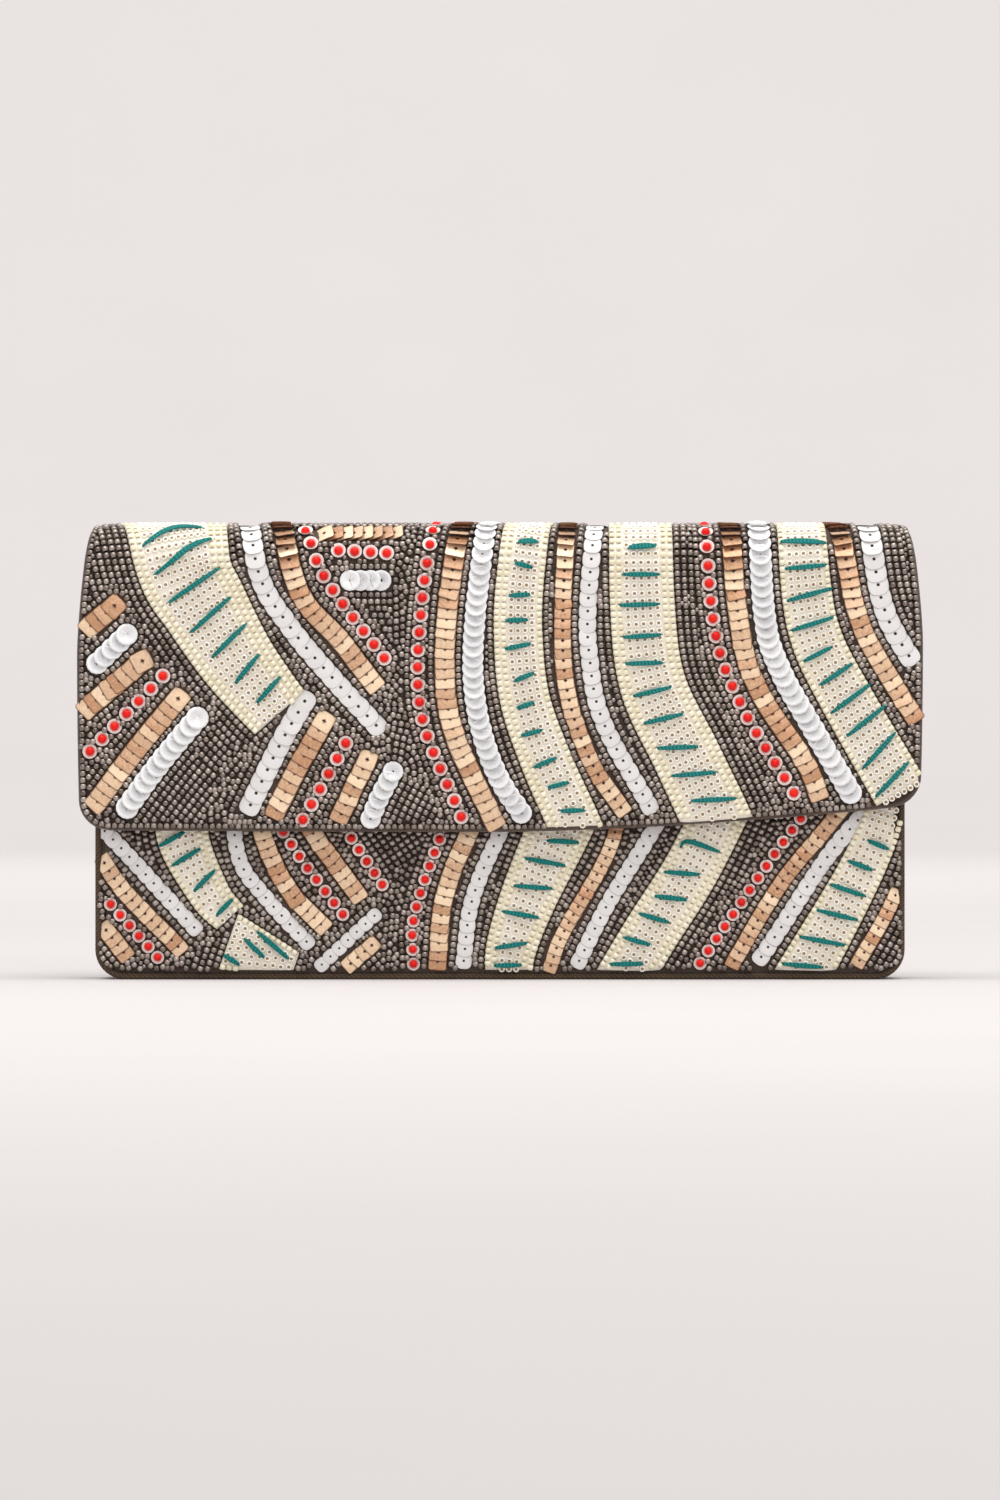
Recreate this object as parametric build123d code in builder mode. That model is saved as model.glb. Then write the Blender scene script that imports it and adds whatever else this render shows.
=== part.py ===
"""Beaded envelope clutch, closed and standing on its base.

X is the width, the front faces -Y and +Z is up. The origin is on the base, in the middle of the
clutch's box. The pouch is a front and a back wall joined by a U-shaped gusset. A flat spine and a
flap hang from two folds along the top, and a magnetic snap holds the flap shut. All sizes are in mm.
"""

import os
from math import cos, hypot, radians, sin

from build123d import *

# Overall sizes
height = 138.0  # base to the top of the beadwork on the spine
body_width = 243.5
flap_width = 254.0  # at the widest, below the front fold
spine_width = 245.0
pouch_depth = 18.0  # between the front and back linings
mouth_z = 118.0  # top edge of the front wall
gusset_top_z = 112.0
flap_edge_z = 44.4  # lowest point of the flap's slanted edge
flap_edge_rise = 8.2  # how much higher that edge ends on the right
flap_edge_dip = 0.5  # and on the left
flap_tuck = 0.8  # the sides come in this much from the widest place to the lower corners
flap_belly = 0.65  # height of the widest place, as a share of the flap's front
flap_bow = 6  # radius of the bowed sides, in fold radii
fold_radius = 10.0  # of the outer cloth at the two top folds
body_corner = 9.0
flap_corner = 9.0

# Layers of a wall, from the outside in
cloth_t = 0.8
foam_t = 1.5
board_t = 1.2
lining_t = 0.5
binding_t = 0.7
piping_d = 2.0
flap_gap = 3.4  # front wall cloth to flap lining: beadwork, clearance and the snap
fold_split = 0.3  # gap between the pieces on each side of a fold line
fit_gap = 0.05  # between pieces that only lie side by side
edge_gap = 1.0  # board, foam and lining stop this far inside the cloth

# Beadwork heights above its cloth
ground_t = 1.6
cream_t = 1.6
stitch_t = 0.5
white_t = 2.0
pearl_t = 1.5
rose_t = 1.4
stone_cup_t = 1.2
bead_layer_t = 2.2  # the tallest beadwork
stone_cup_d = 4.4
stone_d = 3.0
stone_pitch = 5.2
stitch_w = 1.2
bead_gap = 0.3  # bare cloth between two kinds of beadwork
bead_inset = 1.2  # bare cloth inside the edge of a panel
fold_bead_stop = 3.0  # bare cloth each side of a fold line, so that the fold can close
front_bead_top_z = 58.0  # the lower panel's beadwork ends this high, hidden by the flap

# Magnetic snap
snap_z = 74.0
snap_d = 14.0
snap_wall_t = 0.5
snap_hole_d = 6.0
snap_post_d = 4.2
snap_post_l = 2.0
snap_plate_t = 1.4
snap_face_gap = 0.4  # between the closed halves
snap_base_t = 0.5
snap_play = 0.15
snap_leg_w = 3.0
snap_leg_t = 0.5
snap_leg_x = 3.6
washer_t = 0.5
washer_d = 12.0
recess_play = 0.5

# Slip pocket and base
pocket_width = 120.0
pocket_height = 78.0
pocket_top_z = 96.0
pocket_t = 0.6

# Where each layer lies, from the back wall forwards
wall_t = cloth_t + foam_t + board_t + lining_t
cloth_depth = 3 * wall_t + pouch_depth + flap_gap
back_y = (cloth_depth + bead_layer_t) / 2
back_lining_y = back_y - wall_t
front_lining_y = back_lining_y - pouch_depth
front_y = front_lining_y - wall_t
flap_lining_y = front_y - flap_gap
flap_y = flap_lining_y - wall_t
cloth_top_z = height - bead_layer_t
fold_z = cloth_top_z - fold_radius
front_fold_y = flap_y + fold_radius
back_fold_y = back_y - fold_radius
foam_in = cloth_t
board_in = cloth_t + foam_t
lining_in = cloth_t + foam_t + board_t
wall_inset = piping_d + fit_gap
hinge_shift = fold_radius * cos(radians(45))
front_hinge = (flap_y + fold_radius - hinge_shift, fold_z + hinge_shift)
back_hinge = (back_y - fold_radius + hinge_shift, fold_z + hinge_shift)

# The beadwork was drawn on a clutch of this size, and is stretched to the clutch's own size
drawn_width = 254.0
drawn_height = 138.0

# Bands of beadwork: points along the middle (x, z), then the width at the first and last point
flap_cream = [
    ([(-102, 138), (-96, 125), (-89, 112), (-79.5, 97), (-71, 86), (-66, 80.5)], 33, 22),
    ([(9.6, 138), (6, 120), (5.5, 102), (7.5, 84), (14, 65.4), (22, 45)], 13.5, 16),
    ([(42.2, 138), (42.6, 114), (45.7, 89), (55.8, 67.4), (64.3, 48)], 18.5, 21),
    ([(90, 138), (91.5, 120), (95, 102), (104, 84), (117.5, 61)], 13.5, 17),
]
flap_white = [
    ([(-46, 119.8), (-32.3, 119.8)], 6.3, 6.3),
    ([(-2.5, 138), (-7.4, 109.3), (-7.4, 84), (-1.5, 63), (7.5, 47.6)], 6.4, 6.4),
    ([(77.3, 138), (79.1, 110.7), (83.5, 94), (94, 75), (106.4, 53)], 6.6, 6.6),
    ([(-123.8, 92.1), (-110.6, 104.7)], 6.4, 6.4),
    ([(-114.4, 48), (-102, 65), (-89.6, 79.7)], 6.6, 6.6),
    ([(-31.4, 63.6), (-36, 55), (-39.2, 46.6)], 6, 6),
]
flap_pearl = [
    ([(-76, 138), (-72.5, 122.7), (-63, 106), (-49.4, 89.7), (-35, 74.1)], 6.2, 6.2),
    ([(29.3, 138), (26.5, 115), (26.8, 97), (30.8, 77.7), (45.7, 50.3)], 5.4, 5.4),
    ([(109.7, 138), (112.2, 125.4), (116, 109), (125, 93.6)], 6.4, 6.4),
    ([(-57.8, 84.6), (-66, 70.5), (-77, 48.3)], 6.4, 6.4),
]
flap_rose = [
    ([(-67, 138), (-61, 118.5), (-48, 102), (-35.9, 86.4)], 6.2, 6.2),
    ([(-53.6, 135), (-29, 135)], 6, 6),
    ([(-9.9, 138), (-15.9, 109), (-14.8, 77.7), (-1.4, 47)], 6.2, 6.2),
    ([(20.7, 138), (18.8, 109.3), (20.2, 86.3), (27.2, 65.7), (38, 48.9)], 5.2, 5.2),
    ([(68.7, 138), (71, 112), (76.7, 88.6), (91.4, 65.4), (96.6, 52.6)], 6, 6),
    ([(99.3, 138), (103.4, 128), (108, 107), (117, 90.3), (125, 77.7)], 6, 6),
    ([(-124, 105.3), (-114.5, 113.1)], 6.4, 6.4),
    ([(-125.6, 80), (-106, 96.6)], 6.4, 6.4),
    ([(-121.7, 52.2), (-109.4, 68.7), (-95.6, 85.5)], 6.4, 6.4),
    ([(-52, 78.7), (-59.9, 65), (-67.6, 49.8)], 6.2, 6.2),
    ([(-39.2, 67.3), (-48.9, 47.1)], 6, 6),
]
flap_stones = [
    [(-58.4, 135.8), (-52, 119.8), (-34.6, 96.4)],
    [(-48.4, 129), (-33.8, 128.1)],
    [(-18.1, 138), (-23.6, 111), (-23.5, 79.6), (-11.5, 48.7)],
    [(61.5, 138), (63.9, 107.7), (72, 83), (88.2, 55.9)],
    [(-101, 91.2), (-123.5, 68)],
    [(-46.2, 71), (-59.2, 47.6)],
]
front_cream = [
    ([(-91, 57), (-95.5, 44), (-87.5, 26), (-81, 18)], 17, 10),
    ([(-81.6, 11.5), (-61.5, 4.5)], 18, 7),
    ([(22, 56), (16.8, 43.2), (8.3, 24), (3.2, 8.5), (2.7, 1)], 20, 13),
    ([(70, 58), (57.6, 33.3), (45.4, 14), (37, 1)], 16.5, 16.5),
    ([(117, 55), (113.6, 44), (105.5, 27), (91, 2)], 12, 16),
]
front_pearl = [
    ([(-124, 50), (-111.8, 37.3), (-89.9, 13.5)], 5, 5),
    ([(-81, 58), (-78.5, 36.6), (-70.4, 24.6), (-57.2, 10.2)], 5, 4.2),
    ([(-36.9, 20), (-43.2, 14.2), (-54.7, 3.3)], 4.2, 4.2),
    ([(7, 56), (-0.8, 42.4), (-8.5, 23.4), (-11.1, 1)], 5, 5),
    ([(52, 56), (45.7, 44.3), (32.4, 22.7), (22, 1)], 5, 5),
    ([(115, 56), (99.2, 37.9), (83.1, 13.5), (75, 1)], 5.2, 5.2),
]
front_rose = [
    ([(-122, 40), (-113.3, 26.9), (-96, 9)], 5.2, 5.2),
    ([(-121.6, 18.6), (-111.8, 6.3)], 5.4, 5.4),
    ([(-73, 56), (-71, 42.4), (-63.5, 26.9), (-52.7, 15.4)], 5.6, 5.6),
    ([(-62, 54), (-54.7, 41.8), (-42.1, 24.6)], 5.6, 5.6),
    ([(-38, 10.8), (-46, 3.5)], 5, 5),
    ([(-3.5, 56), (-9.9, 42.9), (-16.8, 24.6), (-19, 1)], 5.6, 5.6),
    ([(36, 50), (32, 37), (19, 14), (14.4, 1)], 4.4, 4.4),
    ([(108, 58), (97.8, 45.2), (84, 28.2), (68, 2)], 4.8, 4.8),
    ([(123, 33), (114.3, 16.3), (104.9, 1)], 4.4, 4.4),
]
front_stones = [
    [(-116.6, 22.2), (-102.8, 6.6)],
    [(-67.5, 48), (-58.8, 34.9), (-47.1, 19.4)],
    [(-47, 46), (-35.3, 28.4)],
    [(-13, 54), (-18.2, 42.2), (-25.8, 19), (-26, 2.8)],
    [(93, 52), (80.8, 35.2), (59, 3.4)],
]
# Straight thread stitches over the cream beads: two ends each
flap_stitches = [
    [(-104.3, 120.8), (-85.1, 130)], [(-100.3, 112.4), (-83.1, 124.2)],
    [(-93.4, 103.5), (-79.9, 115.6)], [(-86.8, 96.1), (-75.6, 107.3)],
    [(-79.9, 88.3), (-71.6, 98.4)], [(-73.3, 82.6), (-65.3, 91.5)],
    [(2.4, 115.2), (9.6, 115.6)], [(1.3, 107.7), (8.7, 108)], [(1, 99.1), (9.9, 101)],
    [(3.9, 89.5), (10.7, 92.3)], [(4.7, 81.4), (10.7, 83.3)], [(7, 73.2), (13.1, 75.1)],
    [(10.4, 63.6), (17.3, 66.8)], [(13.9, 57.6), (21.1, 59.4)], [(17.6, 50.7), (25, 51)],
    [(36.2, 121.6), (48.3, 121.6)], [(35.4, 112.3), (48.3, 112.7)],
    [(36.2, 102.7), (49.1, 103.5)], [(36.8, 94.8), (49.7, 95.2)],
    [(39.4, 84.9), (52, 88)], [(42.3, 76.8), (55.7, 80)], [(47, 69.5), (60.3, 70)],
    [(50.9, 61.2), (65.8, 62.4)], [(56.3, 53.7), (70, 54.5)],
    [(86, 113.4), (98.3, 117.7)], [(88, 104.5), (99.9, 109.1)],
    [(92, 95.3), (101, 100.2)], [(96.3, 88), (105.1, 95.3)], [(100, 79.7), (110.6, 87.6)],
    [(104.5, 72.4), (115.5, 81)], [(109.2, 62.9), (118.2, 73)],
]
front_stitches = [
    [(-101.4, 38.8), (-94, 43)], [(-98, 33), (-89.4, 38.4)], [(-91.3, 26.3), (-85.4, 31.8)],
    [(-76, 11.5), (-70.4, 6.6)], [(-82, 7.6), (-77.9, 4.6)],
    [(13.6, 41.8), (24.5, 41.2)], [(7.2, 36.6), (20.5, 34.1)], [(3.3, 28.3), (16.5, 27.3)],
    [(0.4, 20.6), (12.5, 18.5)], [(-1.8, 9.4), (8.7, 11.1)],
    [(56.3, 41), (66, 38.1)], [(50, 32.4), (60.9, 31.5)], [(45.7, 25.2), (56.9, 23.9)],
    [(41.3, 19.4), (51, 17)], [(37.2, 12.8), (45.9, 10.3)],
    [(110.6, 42), (117, 39.6)], [(105.3, 35.4), (112.7, 32.6)], [(100, 28.9), (110.4, 24.8)],
    [(96, 20.6), (107.4, 17.7)], [(91, 12.6), (103, 10.1)],
]


def on_wall(y):
    """The upright plane at depth y, facing the front."""
    return Plane.XZ.offset(-y)


def stretched(points):
    """Drawn beadwork points at the clutch's own width and height."""
    return [(x * flap_width / drawn_width, z * height / drawn_height) for x, z in points]


def draw_u_shape(width, low_z, top_z, corner, mode=Mode.ADD):
    """An upright panel with rounded bottom corners."""
    half = width / 2
    with BuildLine(Plane.XY) as outline:
        FilletPolyline(
            (-half, top_z), (-half, low_z), (half, low_z), (half, top_z),
            radius=[0, corner, corner, 0],
            close=True,
        )
    make_face(outline.edges(), mode=mode)


def draw_flap_shape(inset, mode=Mode.ADD):
    """The flap seen from the front: bowed sides and a slightly slanted lower edge."""
    half = flap_width / 2 - inset
    top_half = spine_width / 2 - inset
    side_half = half - flap_tuck
    belly_z = flap_edge_z + (fold_z - flap_edge_z) * flap_belly
    low_z = flap_edge_z + inset
    corner = flap_corner - inset
    bow = fold_radius * flap_bow
    with BuildLine(Plane.XY) as outline:
        FilletPolyline(
            (-top_half, height), (-half, belly_z), (-side_half, low_z + flap_edge_dip), (0, low_z),
            (side_half, low_z + flap_edge_rise), (half, belly_z), (top_half, height),
            radius=[0, bow, corner, bow, corner, bow, 0],
            close=True,
        )
    make_face(outline.edges(), mode=mode)


def keep_below(top_z):
    """Keep what lies below a height."""
    with Locations((0, 0)):
        Rectangle(2 * flap_width, 2 * top_z, mode=Mode.INTERSECT)


def lengthened(path, extra):
    """A path drawn out at both ends."""
    first = path[0] + (path[0] - path[1]).normalized() * extra
    last = path[-1] + (path[-1] - path[-2]).normalized() * extra
    return [first] + path[1:-1] + [last]


def draw_band(points, start_width, end_width, grow=0.0, mode=Mode.ADD):
    """A strip of beadwork along its points with an even taper, larger all round by grow."""
    path = lengthened([Vector(x, z) for x, z in stretched(points)], grow)
    left, right = [], []
    for index, point in enumerate(path):
        along = path[min(index + 1, len(path) - 1)] - path[max(index - 1, 0)]
        share = index / (len(path) - 1)
        half = (start_width + (end_width - start_width) * share) / 2 + grow
        across = Vector(-along.Y, along.X) / hypot(along.X, along.Y) * half
        left.append(point + across)
        right.append(point - across)
    with BuildLine(Plane.XY) as outline:
        for side in (left, right):
            if len(side) == 2:
                Line(*side)
            else:
                Spline(*side)
        Line(left[0], right[0])
        Line(left[-1], right[-1])
    make_face(outline.edges(), mode=mode)


def draw_wrap(depth, thickness):
    """Section of a layer that goes up the back wall, over the two folds and down the flap."""
    low_z = -height
    for inset, mode in ((depth, Mode.ADD), (depth + thickness, Mode.SUBTRACT)):
        corner = fold_radius - inset
        with BuildLine(Plane.XY) as outline:
            FilletPolyline(
                (flap_y + inset, low_z), (flap_y + inset, cloth_top_z - inset),
                (back_y - inset, cloth_top_z - inset), (back_y - inset, low_z),
                radius=[0, corner, corner, 0],
                close=True,
            )
        make_face(outline.edges(), mode=mode)


def keep_between(part_name, stop):
    """Keep the part of a section that is body, spine or flap, up to a gap at each fold line."""
    far = 2 * height
    side = stop / sin(radians(45))
    front_cut = [
        (front_fold_y - side, fold_z), (front_fold_y - side - far, fold_z + far),
        (front_fold_y - side - far, -far), (front_fold_y - side, -far),
    ]
    spine_cut = [
        (front_fold_y + side, fold_z), (front_fold_y + side - far, fold_z + far),
        (back_fold_y - side + far, fold_z + far), (back_fold_y - side, fold_z),
    ]
    back_cut = [
        (back_fold_y + side, fold_z), (back_fold_y + side + far, fold_z + far),
        (back_fold_y + side + far, -far), (back_fold_y + side, -far),
    ]
    corners = {"flap": front_cut, "spine": spine_cut, "body": back_cut}[part_name]
    with BuildLine(Plane.XY) as outline:
        Polyline(*corners, close=True)
    make_face(outline.edges(), mode=Mode.INTERSECT)


def save(part, label):
    """Name a finished piece and write it."""
    part.label = label
    export_step(part, f"parts/{label}.step")


os.makedirs("parts", exist_ok=True)

# --- Back wall: cloth and foam run up into the back fold, the board and lining stop below it
wall_width = body_width - 2 * wall_inset
wall_corner = body_corner - wall_inset
far_side = flap_width

for label, depth, thickness in (("back_fabric", 0.0, cloth_t), ("back_foam", foam_in, foam_t)):
    with BuildPart() as back_layer:
        with BuildSketch(Plane.YZ):
            draw_wrap(depth, thickness)
            keep_between("body", fold_split / 2)
        extrude(amount=far_side, both=True)
        with BuildSketch(on_wall(back_y)):
            draw_u_shape(wall_width, wall_inset, height, wall_corner)
        extrude(amount=cloth_depth, mode=Mode.INTERSECT)
    save(back_layer.part, label)

with BuildPart() as back_board:
    with BuildSketch(on_wall(back_y - board_in)):
        draw_u_shape(wall_width - 2 * edge_gap, wall_inset + edge_gap, fold_z, wall_corner - edge_gap)
    extrude(amount=board_t)
save(back_board.part, "back_board")

with BuildPart() as back_lining:
    with BuildSketch(on_wall(back_y - lining_in)):
        draw_u_shape(wall_width, wall_inset, fold_z, wall_corner)
    extrude(amount=lining_t)
save(back_lining.part, "back_lining")

with BuildPart() as slip_pocket:
    with BuildSketch(on_wall(back_lining_y)):
        draw_u_shape(pocket_width, pocket_top_z - pocket_height, pocket_top_z, wall_corner)
    extrude(amount=pocket_t)
save(slip_pocket.part, "slip_pocket")

# --- Front wall, with a hole in its cloth and foam for the snap's socket
snap_base_y = front_y + board_in - snap_base_t
snap_face_y = flap_lining_y + snap_plate_t + snap_face_gap
socket_hole_d = snap_d + 2 * snap_play
washer_hole_d = washer_d + 2 * recess_play

for label, depth, thickness in (("front_fabric", 0.0, cloth_t), ("front_foam", foam_in, foam_t)):
    with BuildPart() as front_layer:
        with BuildSketch(on_wall(front_y + depth + thickness)):
            draw_u_shape(wall_width, wall_inset, mouth_z, wall_corner)
            with Locations((0, snap_z)):
                Circle(socket_hole_d / 2, mode=Mode.SUBTRACT)
        extrude(amount=thickness)
    save(front_layer.part, label)


def draw_leg_slots(mode):
    """Two slots for the snap's bent legs."""
    with Locations((-snap_leg_x, snap_z), (snap_leg_x, snap_z)):
        Rectangle(snap_leg_t + 2 * snap_play, snap_leg_w + 2 * snap_play, mode=mode)


def draw_legs():
    """The snap's two legs."""
    with Locations((-snap_leg_x, snap_z), (snap_leg_x, snap_z)):
        Rectangle(snap_leg_t, snap_leg_w)


with BuildPart() as front_board:
    with BuildSketch(on_wall(front_lining_y - lining_t)):
        draw_u_shape(wall_width - 2 * edge_gap, wall_inset + edge_gap, mouth_z, wall_corner - edge_gap)
        draw_leg_slots(Mode.SUBTRACT)
    extrude(amount=board_t)
    with BuildSketch(on_wall(front_lining_y - lining_t)):
        with Locations((0, snap_z)):
            Circle(washer_hole_d / 2)
    extrude(amount=washer_t + fit_gap, mode=Mode.SUBTRACT)
save(front_board.part, "front_board")

with BuildPart() as front_lining:
    with BuildSketch(on_wall(front_lining_y)):
        draw_u_shape(wall_width, wall_inset, mouth_z, wall_corner)
    extrude(amount=lining_t)
save(front_lining.part, "front_lining")

with BuildPart() as mouth_binding:
    with BuildSketch(on_wall(front_lining_y)):
        with Locations((0, mouth_z + binding_t / 2)):
            Rectangle(wall_width, binding_t)
    extrude(amount=wall_t)
save(mouth_binding.part, "mouth_binding")

# --- Gusset: a U-shaped strip between the piped seams, its lining and the stiff base
gusset_back_y = back_y - piping_d - fit_gap
gusset_depth = gusset_back_y - (front_y + piping_d + fit_gap)
base_board_in = cloth_t + board_t

with BuildPart() as gusset_fabric:
    with BuildSketch(on_wall(gusset_back_y)):
        draw_u_shape(body_width, 0, gusset_top_z, body_corner)
        draw_u_shape(
            body_width - 2 * cloth_t, cloth_t, height, body_corner - cloth_t, mode=Mode.SUBTRACT
        )
    extrude(amount=gusset_depth)
save(gusset_fabric.part, "gusset_fabric")

with BuildPart() as gusset_lining:
    with BuildSketch(on_wall(back_lining_y)):
        draw_u_shape(
            body_width - 2 * base_board_in, base_board_in, gusset_top_z, body_corner - base_board_in
        )
        draw_u_shape(
            body_width - 2 * (base_board_in + lining_t), base_board_in + lining_t, height,
            body_corner - base_board_in - lining_t, mode=Mode.SUBTRACT,
        )
    extrude(amount=pouch_depth)
save(gusset_lining.part, "gusset_lining")

with BuildPart() as base_board:
    with BuildSketch(on_wall(back_lining_y)):
        with Locations((0, cloth_t + board_t / 2)):
            Rectangle(body_width - 2 * body_corner, board_t)
    extrude(amount=pouch_depth)
save(base_board.part, "base_board")

# --- Piping: a covered cord sewn into each seam, round the sides and the bottom
piping_half = (body_width - piping_d) / 2
for label, seam_y, top_z in (
    ("front_piping", front_y + piping_d / 2, mouth_z),
    ("back_piping", back_y - piping_d / 2, fold_z),
):
    with BuildPart() as piping:
        with BuildLine(on_wall(seam_y)) as seam:
            FilletPolyline(
                (-piping_half, top_z), (-piping_half, piping_d / 2),
                (piping_half, piping_d / 2), (piping_half, top_z),
                radius=body_corner - piping_d / 2,
            )
        with BuildSketch(Plane(origin=seam.line @ 0, z_dir=seam.line % 0)):
            Circle(piping_d / 2)
        sweep()
    save(piping.part, label)

# --- Snap socket on the front wall: a cup over a ring magnet, a base disc with legs, a washer
with BuildPart() as snap_socket_case:
    with BuildSketch(on_wall(snap_base_y)):
        with Locations((0, snap_z)):
            Circle(snap_d / 2)
    extrude(amount=snap_base_y - snap_face_y)
    with BuildSketch(on_wall(snap_base_y)):
        with Locations((0, snap_z)):
            Circle(snap_d / 2 - snap_wall_t)
    extrude(amount=snap_base_y - snap_face_y - snap_wall_t, mode=Mode.SUBTRACT)
    with BuildSketch(on_wall(snap_base_y)):
        with Locations((0, snap_z)):
            Circle(snap_hole_d / 2)
    extrude(amount=snap_base_y - snap_face_y, mode=Mode.SUBTRACT)
save(snap_socket_case.part, "snap_socket_case")

with BuildPart() as snap_magnet:
    with BuildSketch(on_wall(snap_base_y)):
        with Locations((0, snap_z)):
            Circle(snap_d / 2 - snap_wall_t - fit_gap)
            Circle(snap_hole_d / 2 + fit_gap, mode=Mode.SUBTRACT)
    extrude(amount=snap_base_y - snap_face_y - snap_wall_t - fit_gap)
save(snap_magnet.part, "snap_magnet")

with BuildPart() as snap_socket_base:
    with BuildSketch(on_wall(snap_base_y + snap_base_t)):
        with Locations((0, snap_z)):
            Circle(snap_d / 2 - snap_wall_t)
    extrude(amount=snap_base_t)
    with BuildSketch(on_wall(snap_base_y + snap_base_t)):
        draw_legs()
    extrude(amount=-board_t)
save(snap_socket_base.part, "snap_socket_base")

with BuildPart() as snap_socket_washer:
    with BuildSketch(on_wall(front_lining_y - lining_t)):
        with Locations((0, snap_z)):
            Circle(washer_d / 2)
        draw_leg_slots(Mode.SUBTRACT)
    extrude(amount=washer_t)
save(snap_socket_washer.part, "snap_socket_washer")

# --- Spine: the flat top between the folds
for label, depth, thickness in (
    ("spine_fabric", 0.0, cloth_t),
    ("spine_foam", foam_in, foam_t),
    ("spine_lining", lining_in, lining_t),
):
    with BuildPart() as spine_layer:
        with BuildSketch(Plane.YZ):
            draw_wrap(depth, thickness)
            keep_between("spine", fold_split / 2)
        extrude(amount=(spine_width / 2) - (edge_gap if depth else 0), both=True)
    save(spine_layer.part, label)

with BuildPart() as spine_board:
    with BuildSketch(Plane.XY.offset(cloth_top_z - board_in)):
        with Locations((0, (front_fold_y + back_fold_y) / 2)):
            Rectangle(spine_width - 2 * edge_gap, back_fold_y - front_fold_y)
    extrude(amount=-board_t)
save(spine_board.part, "spine_board")

with BuildPart() as spine_beads:
    with BuildSketch(Plane.YZ):
        draw_wrap(-bead_layer_t, bead_layer_t)
        keep_between("spine", fold_bead_stop)
    extrude(amount=spine_width / 2 - bead_inset, both=True)
save(spine_beads.part, "spine_beads")

# --- Flap: cloth and foam come down out of the front fold, the board and lining start below it
for label, depth, thickness in (("flap_fabric", 0.0, cloth_t), ("flap_foam", foam_in, foam_t)):
    inset = binding_t + fit_gap if depth else 0.0
    with BuildPart() as flap_layer:
        with BuildSketch(Plane.YZ):
            draw_wrap(depth, thickness)
            keep_between("flap", fold_split / 2)
        extrude(amount=far_side, both=True)
        with BuildSketch(on_wall(back_y)):
            draw_flap_shape(inset)
        extrude(amount=cloth_depth, mode=Mode.INTERSECT)
        if depth:
            with BuildSketch(on_wall(flap_y + board_in)):
                with Locations((0, snap_z)):
                    Circle(washer_hole_d / 2)
            extrude(amount=washer_t + fit_gap, mode=Mode.SUBTRACT)
    save(flap_layer.part, label)

for label, inner_y, thickness in (
    ("flap_board", flap_lining_y - lining_t, board_t),
    ("flap_lining", flap_lining_y, lining_t),
):
    with BuildPart() as flap_stiff:
        with BuildSketch(on_wall(inner_y)):
            draw_flap_shape(binding_t + fit_gap)
            keep_below(fold_z)
            draw_leg_slots(Mode.SUBTRACT)
        extrude(amount=thickness)
    save(flap_stiff.part, label)

with BuildPart() as flap_edge_binding:
    with BuildSketch(on_wall(flap_lining_y)):
        draw_flap_shape(0.0)
        draw_flap_shape(binding_t, mode=Mode.SUBTRACT)
        keep_below(fold_z)
    extrude(amount=wall_t - cloth_t)
save(flap_edge_binding.part, "flap_edge_binding")

with BuildPart() as snap_stud:
    with BuildSketch(on_wall(flap_lining_y)):
        with Locations((0, snap_z)):
            Circle(snap_d / 2)
    extrude(amount=-snap_plate_t)
    with BuildSketch(on_wall(flap_lining_y + snap_plate_t)):
        with Locations((0, snap_z)):
            Circle(snap_post_d / 2)
    extrude(amount=-snap_post_l)
    with BuildSketch(on_wall(flap_lining_y)):
        draw_legs()
    extrude(amount=lining_t + board_t + washer_t)
save(snap_stud.part, "snap_stud")

with BuildPart() as snap_stud_washer:
    with BuildSketch(on_wall(flap_lining_y - lining_t - board_t)):
        with Locations((0, snap_z)):
            Circle(washer_d / 2)
        draw_leg_slots(Mode.SUBTRACT)
    extrude(amount=washer_t)
save(snap_stud_washer.part, "snap_stud_washer")

with BuildPart() as flap_fold_beads:
    with BuildSketch(Plane.YZ):
        draw_wrap(-bead_layer_t, bead_layer_t)
        keep_between("flap", fold_bead_stop)
    extrude(amount=far_side, both=True)
    with BuildSketch(on_wall(back_y)):
        with Locations((0, fold_z + height / 2)):
            Rectangle(spine_width - 2 * bead_inset, height)
    extrude(amount=2 * cloth_depth, mode=Mode.INTERSECT)
save(flap_fold_beads.part, "flap_fold_beads")


# --- Beadwork of the two panels
stone_edge = stone_cup_d / 2 + bead_gap


def clip_flap():
    """Keep what lies on the flat of the flap."""
    draw_flap_shape(bead_inset, mode=Mode.INTERSECT)
    keep_below(fold_z - bead_gap)


def clip_front():
    """Keep what lies on the beaded lower part of the front wall."""
    draw_u_shape(
        wall_width - 2 * bead_inset, wall_inset + bead_inset, front_bead_top_z,
        wall_corner - bead_inset, mode=Mode.INTERSECT,
    )


def stone_bands(paths):
    """The strip that each row of stones fills."""
    bands = []
    for path in paths:
        ends = lengthened([Vector(x, z) for x, z in path], stone_cup_d / 2)
        width = stone_cup_d + bead_gap
        bands.append(([(point.X, point.Y) for point in ends], width, width))
    return bands


def bead_bands(label, face_y, clip, bands, taken, thickness):
    """Strips of one kind of bead, standing on the cloth and clear of the strips already there."""
    with BuildPart() as beads:
        with BuildSketch(on_wall(face_y)):
            for points, start_width, end_width in bands:
                draw_band(points, start_width, end_width)
            for points, start_width, end_width in taken:
                draw_band(points, start_width, end_width, grow=bead_gap, mode=Mode.SUBTRACT)
            clip()
        extrude(amount=thickness)
    save(beads.part, label)


def thread_stitches(label, face_y, clip, stitches):
    """Straight stitches of thread, lying on top of the cream beads."""
    with BuildPart() as threads:
        with BuildSketch(on_wall(face_y - cream_t)):
            for ends in stitches:
                draw_band(ends, stitch_w, stitch_w)
            clip()
        extrude(amount=stitch_t)
    save(threads.part, label)


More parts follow.
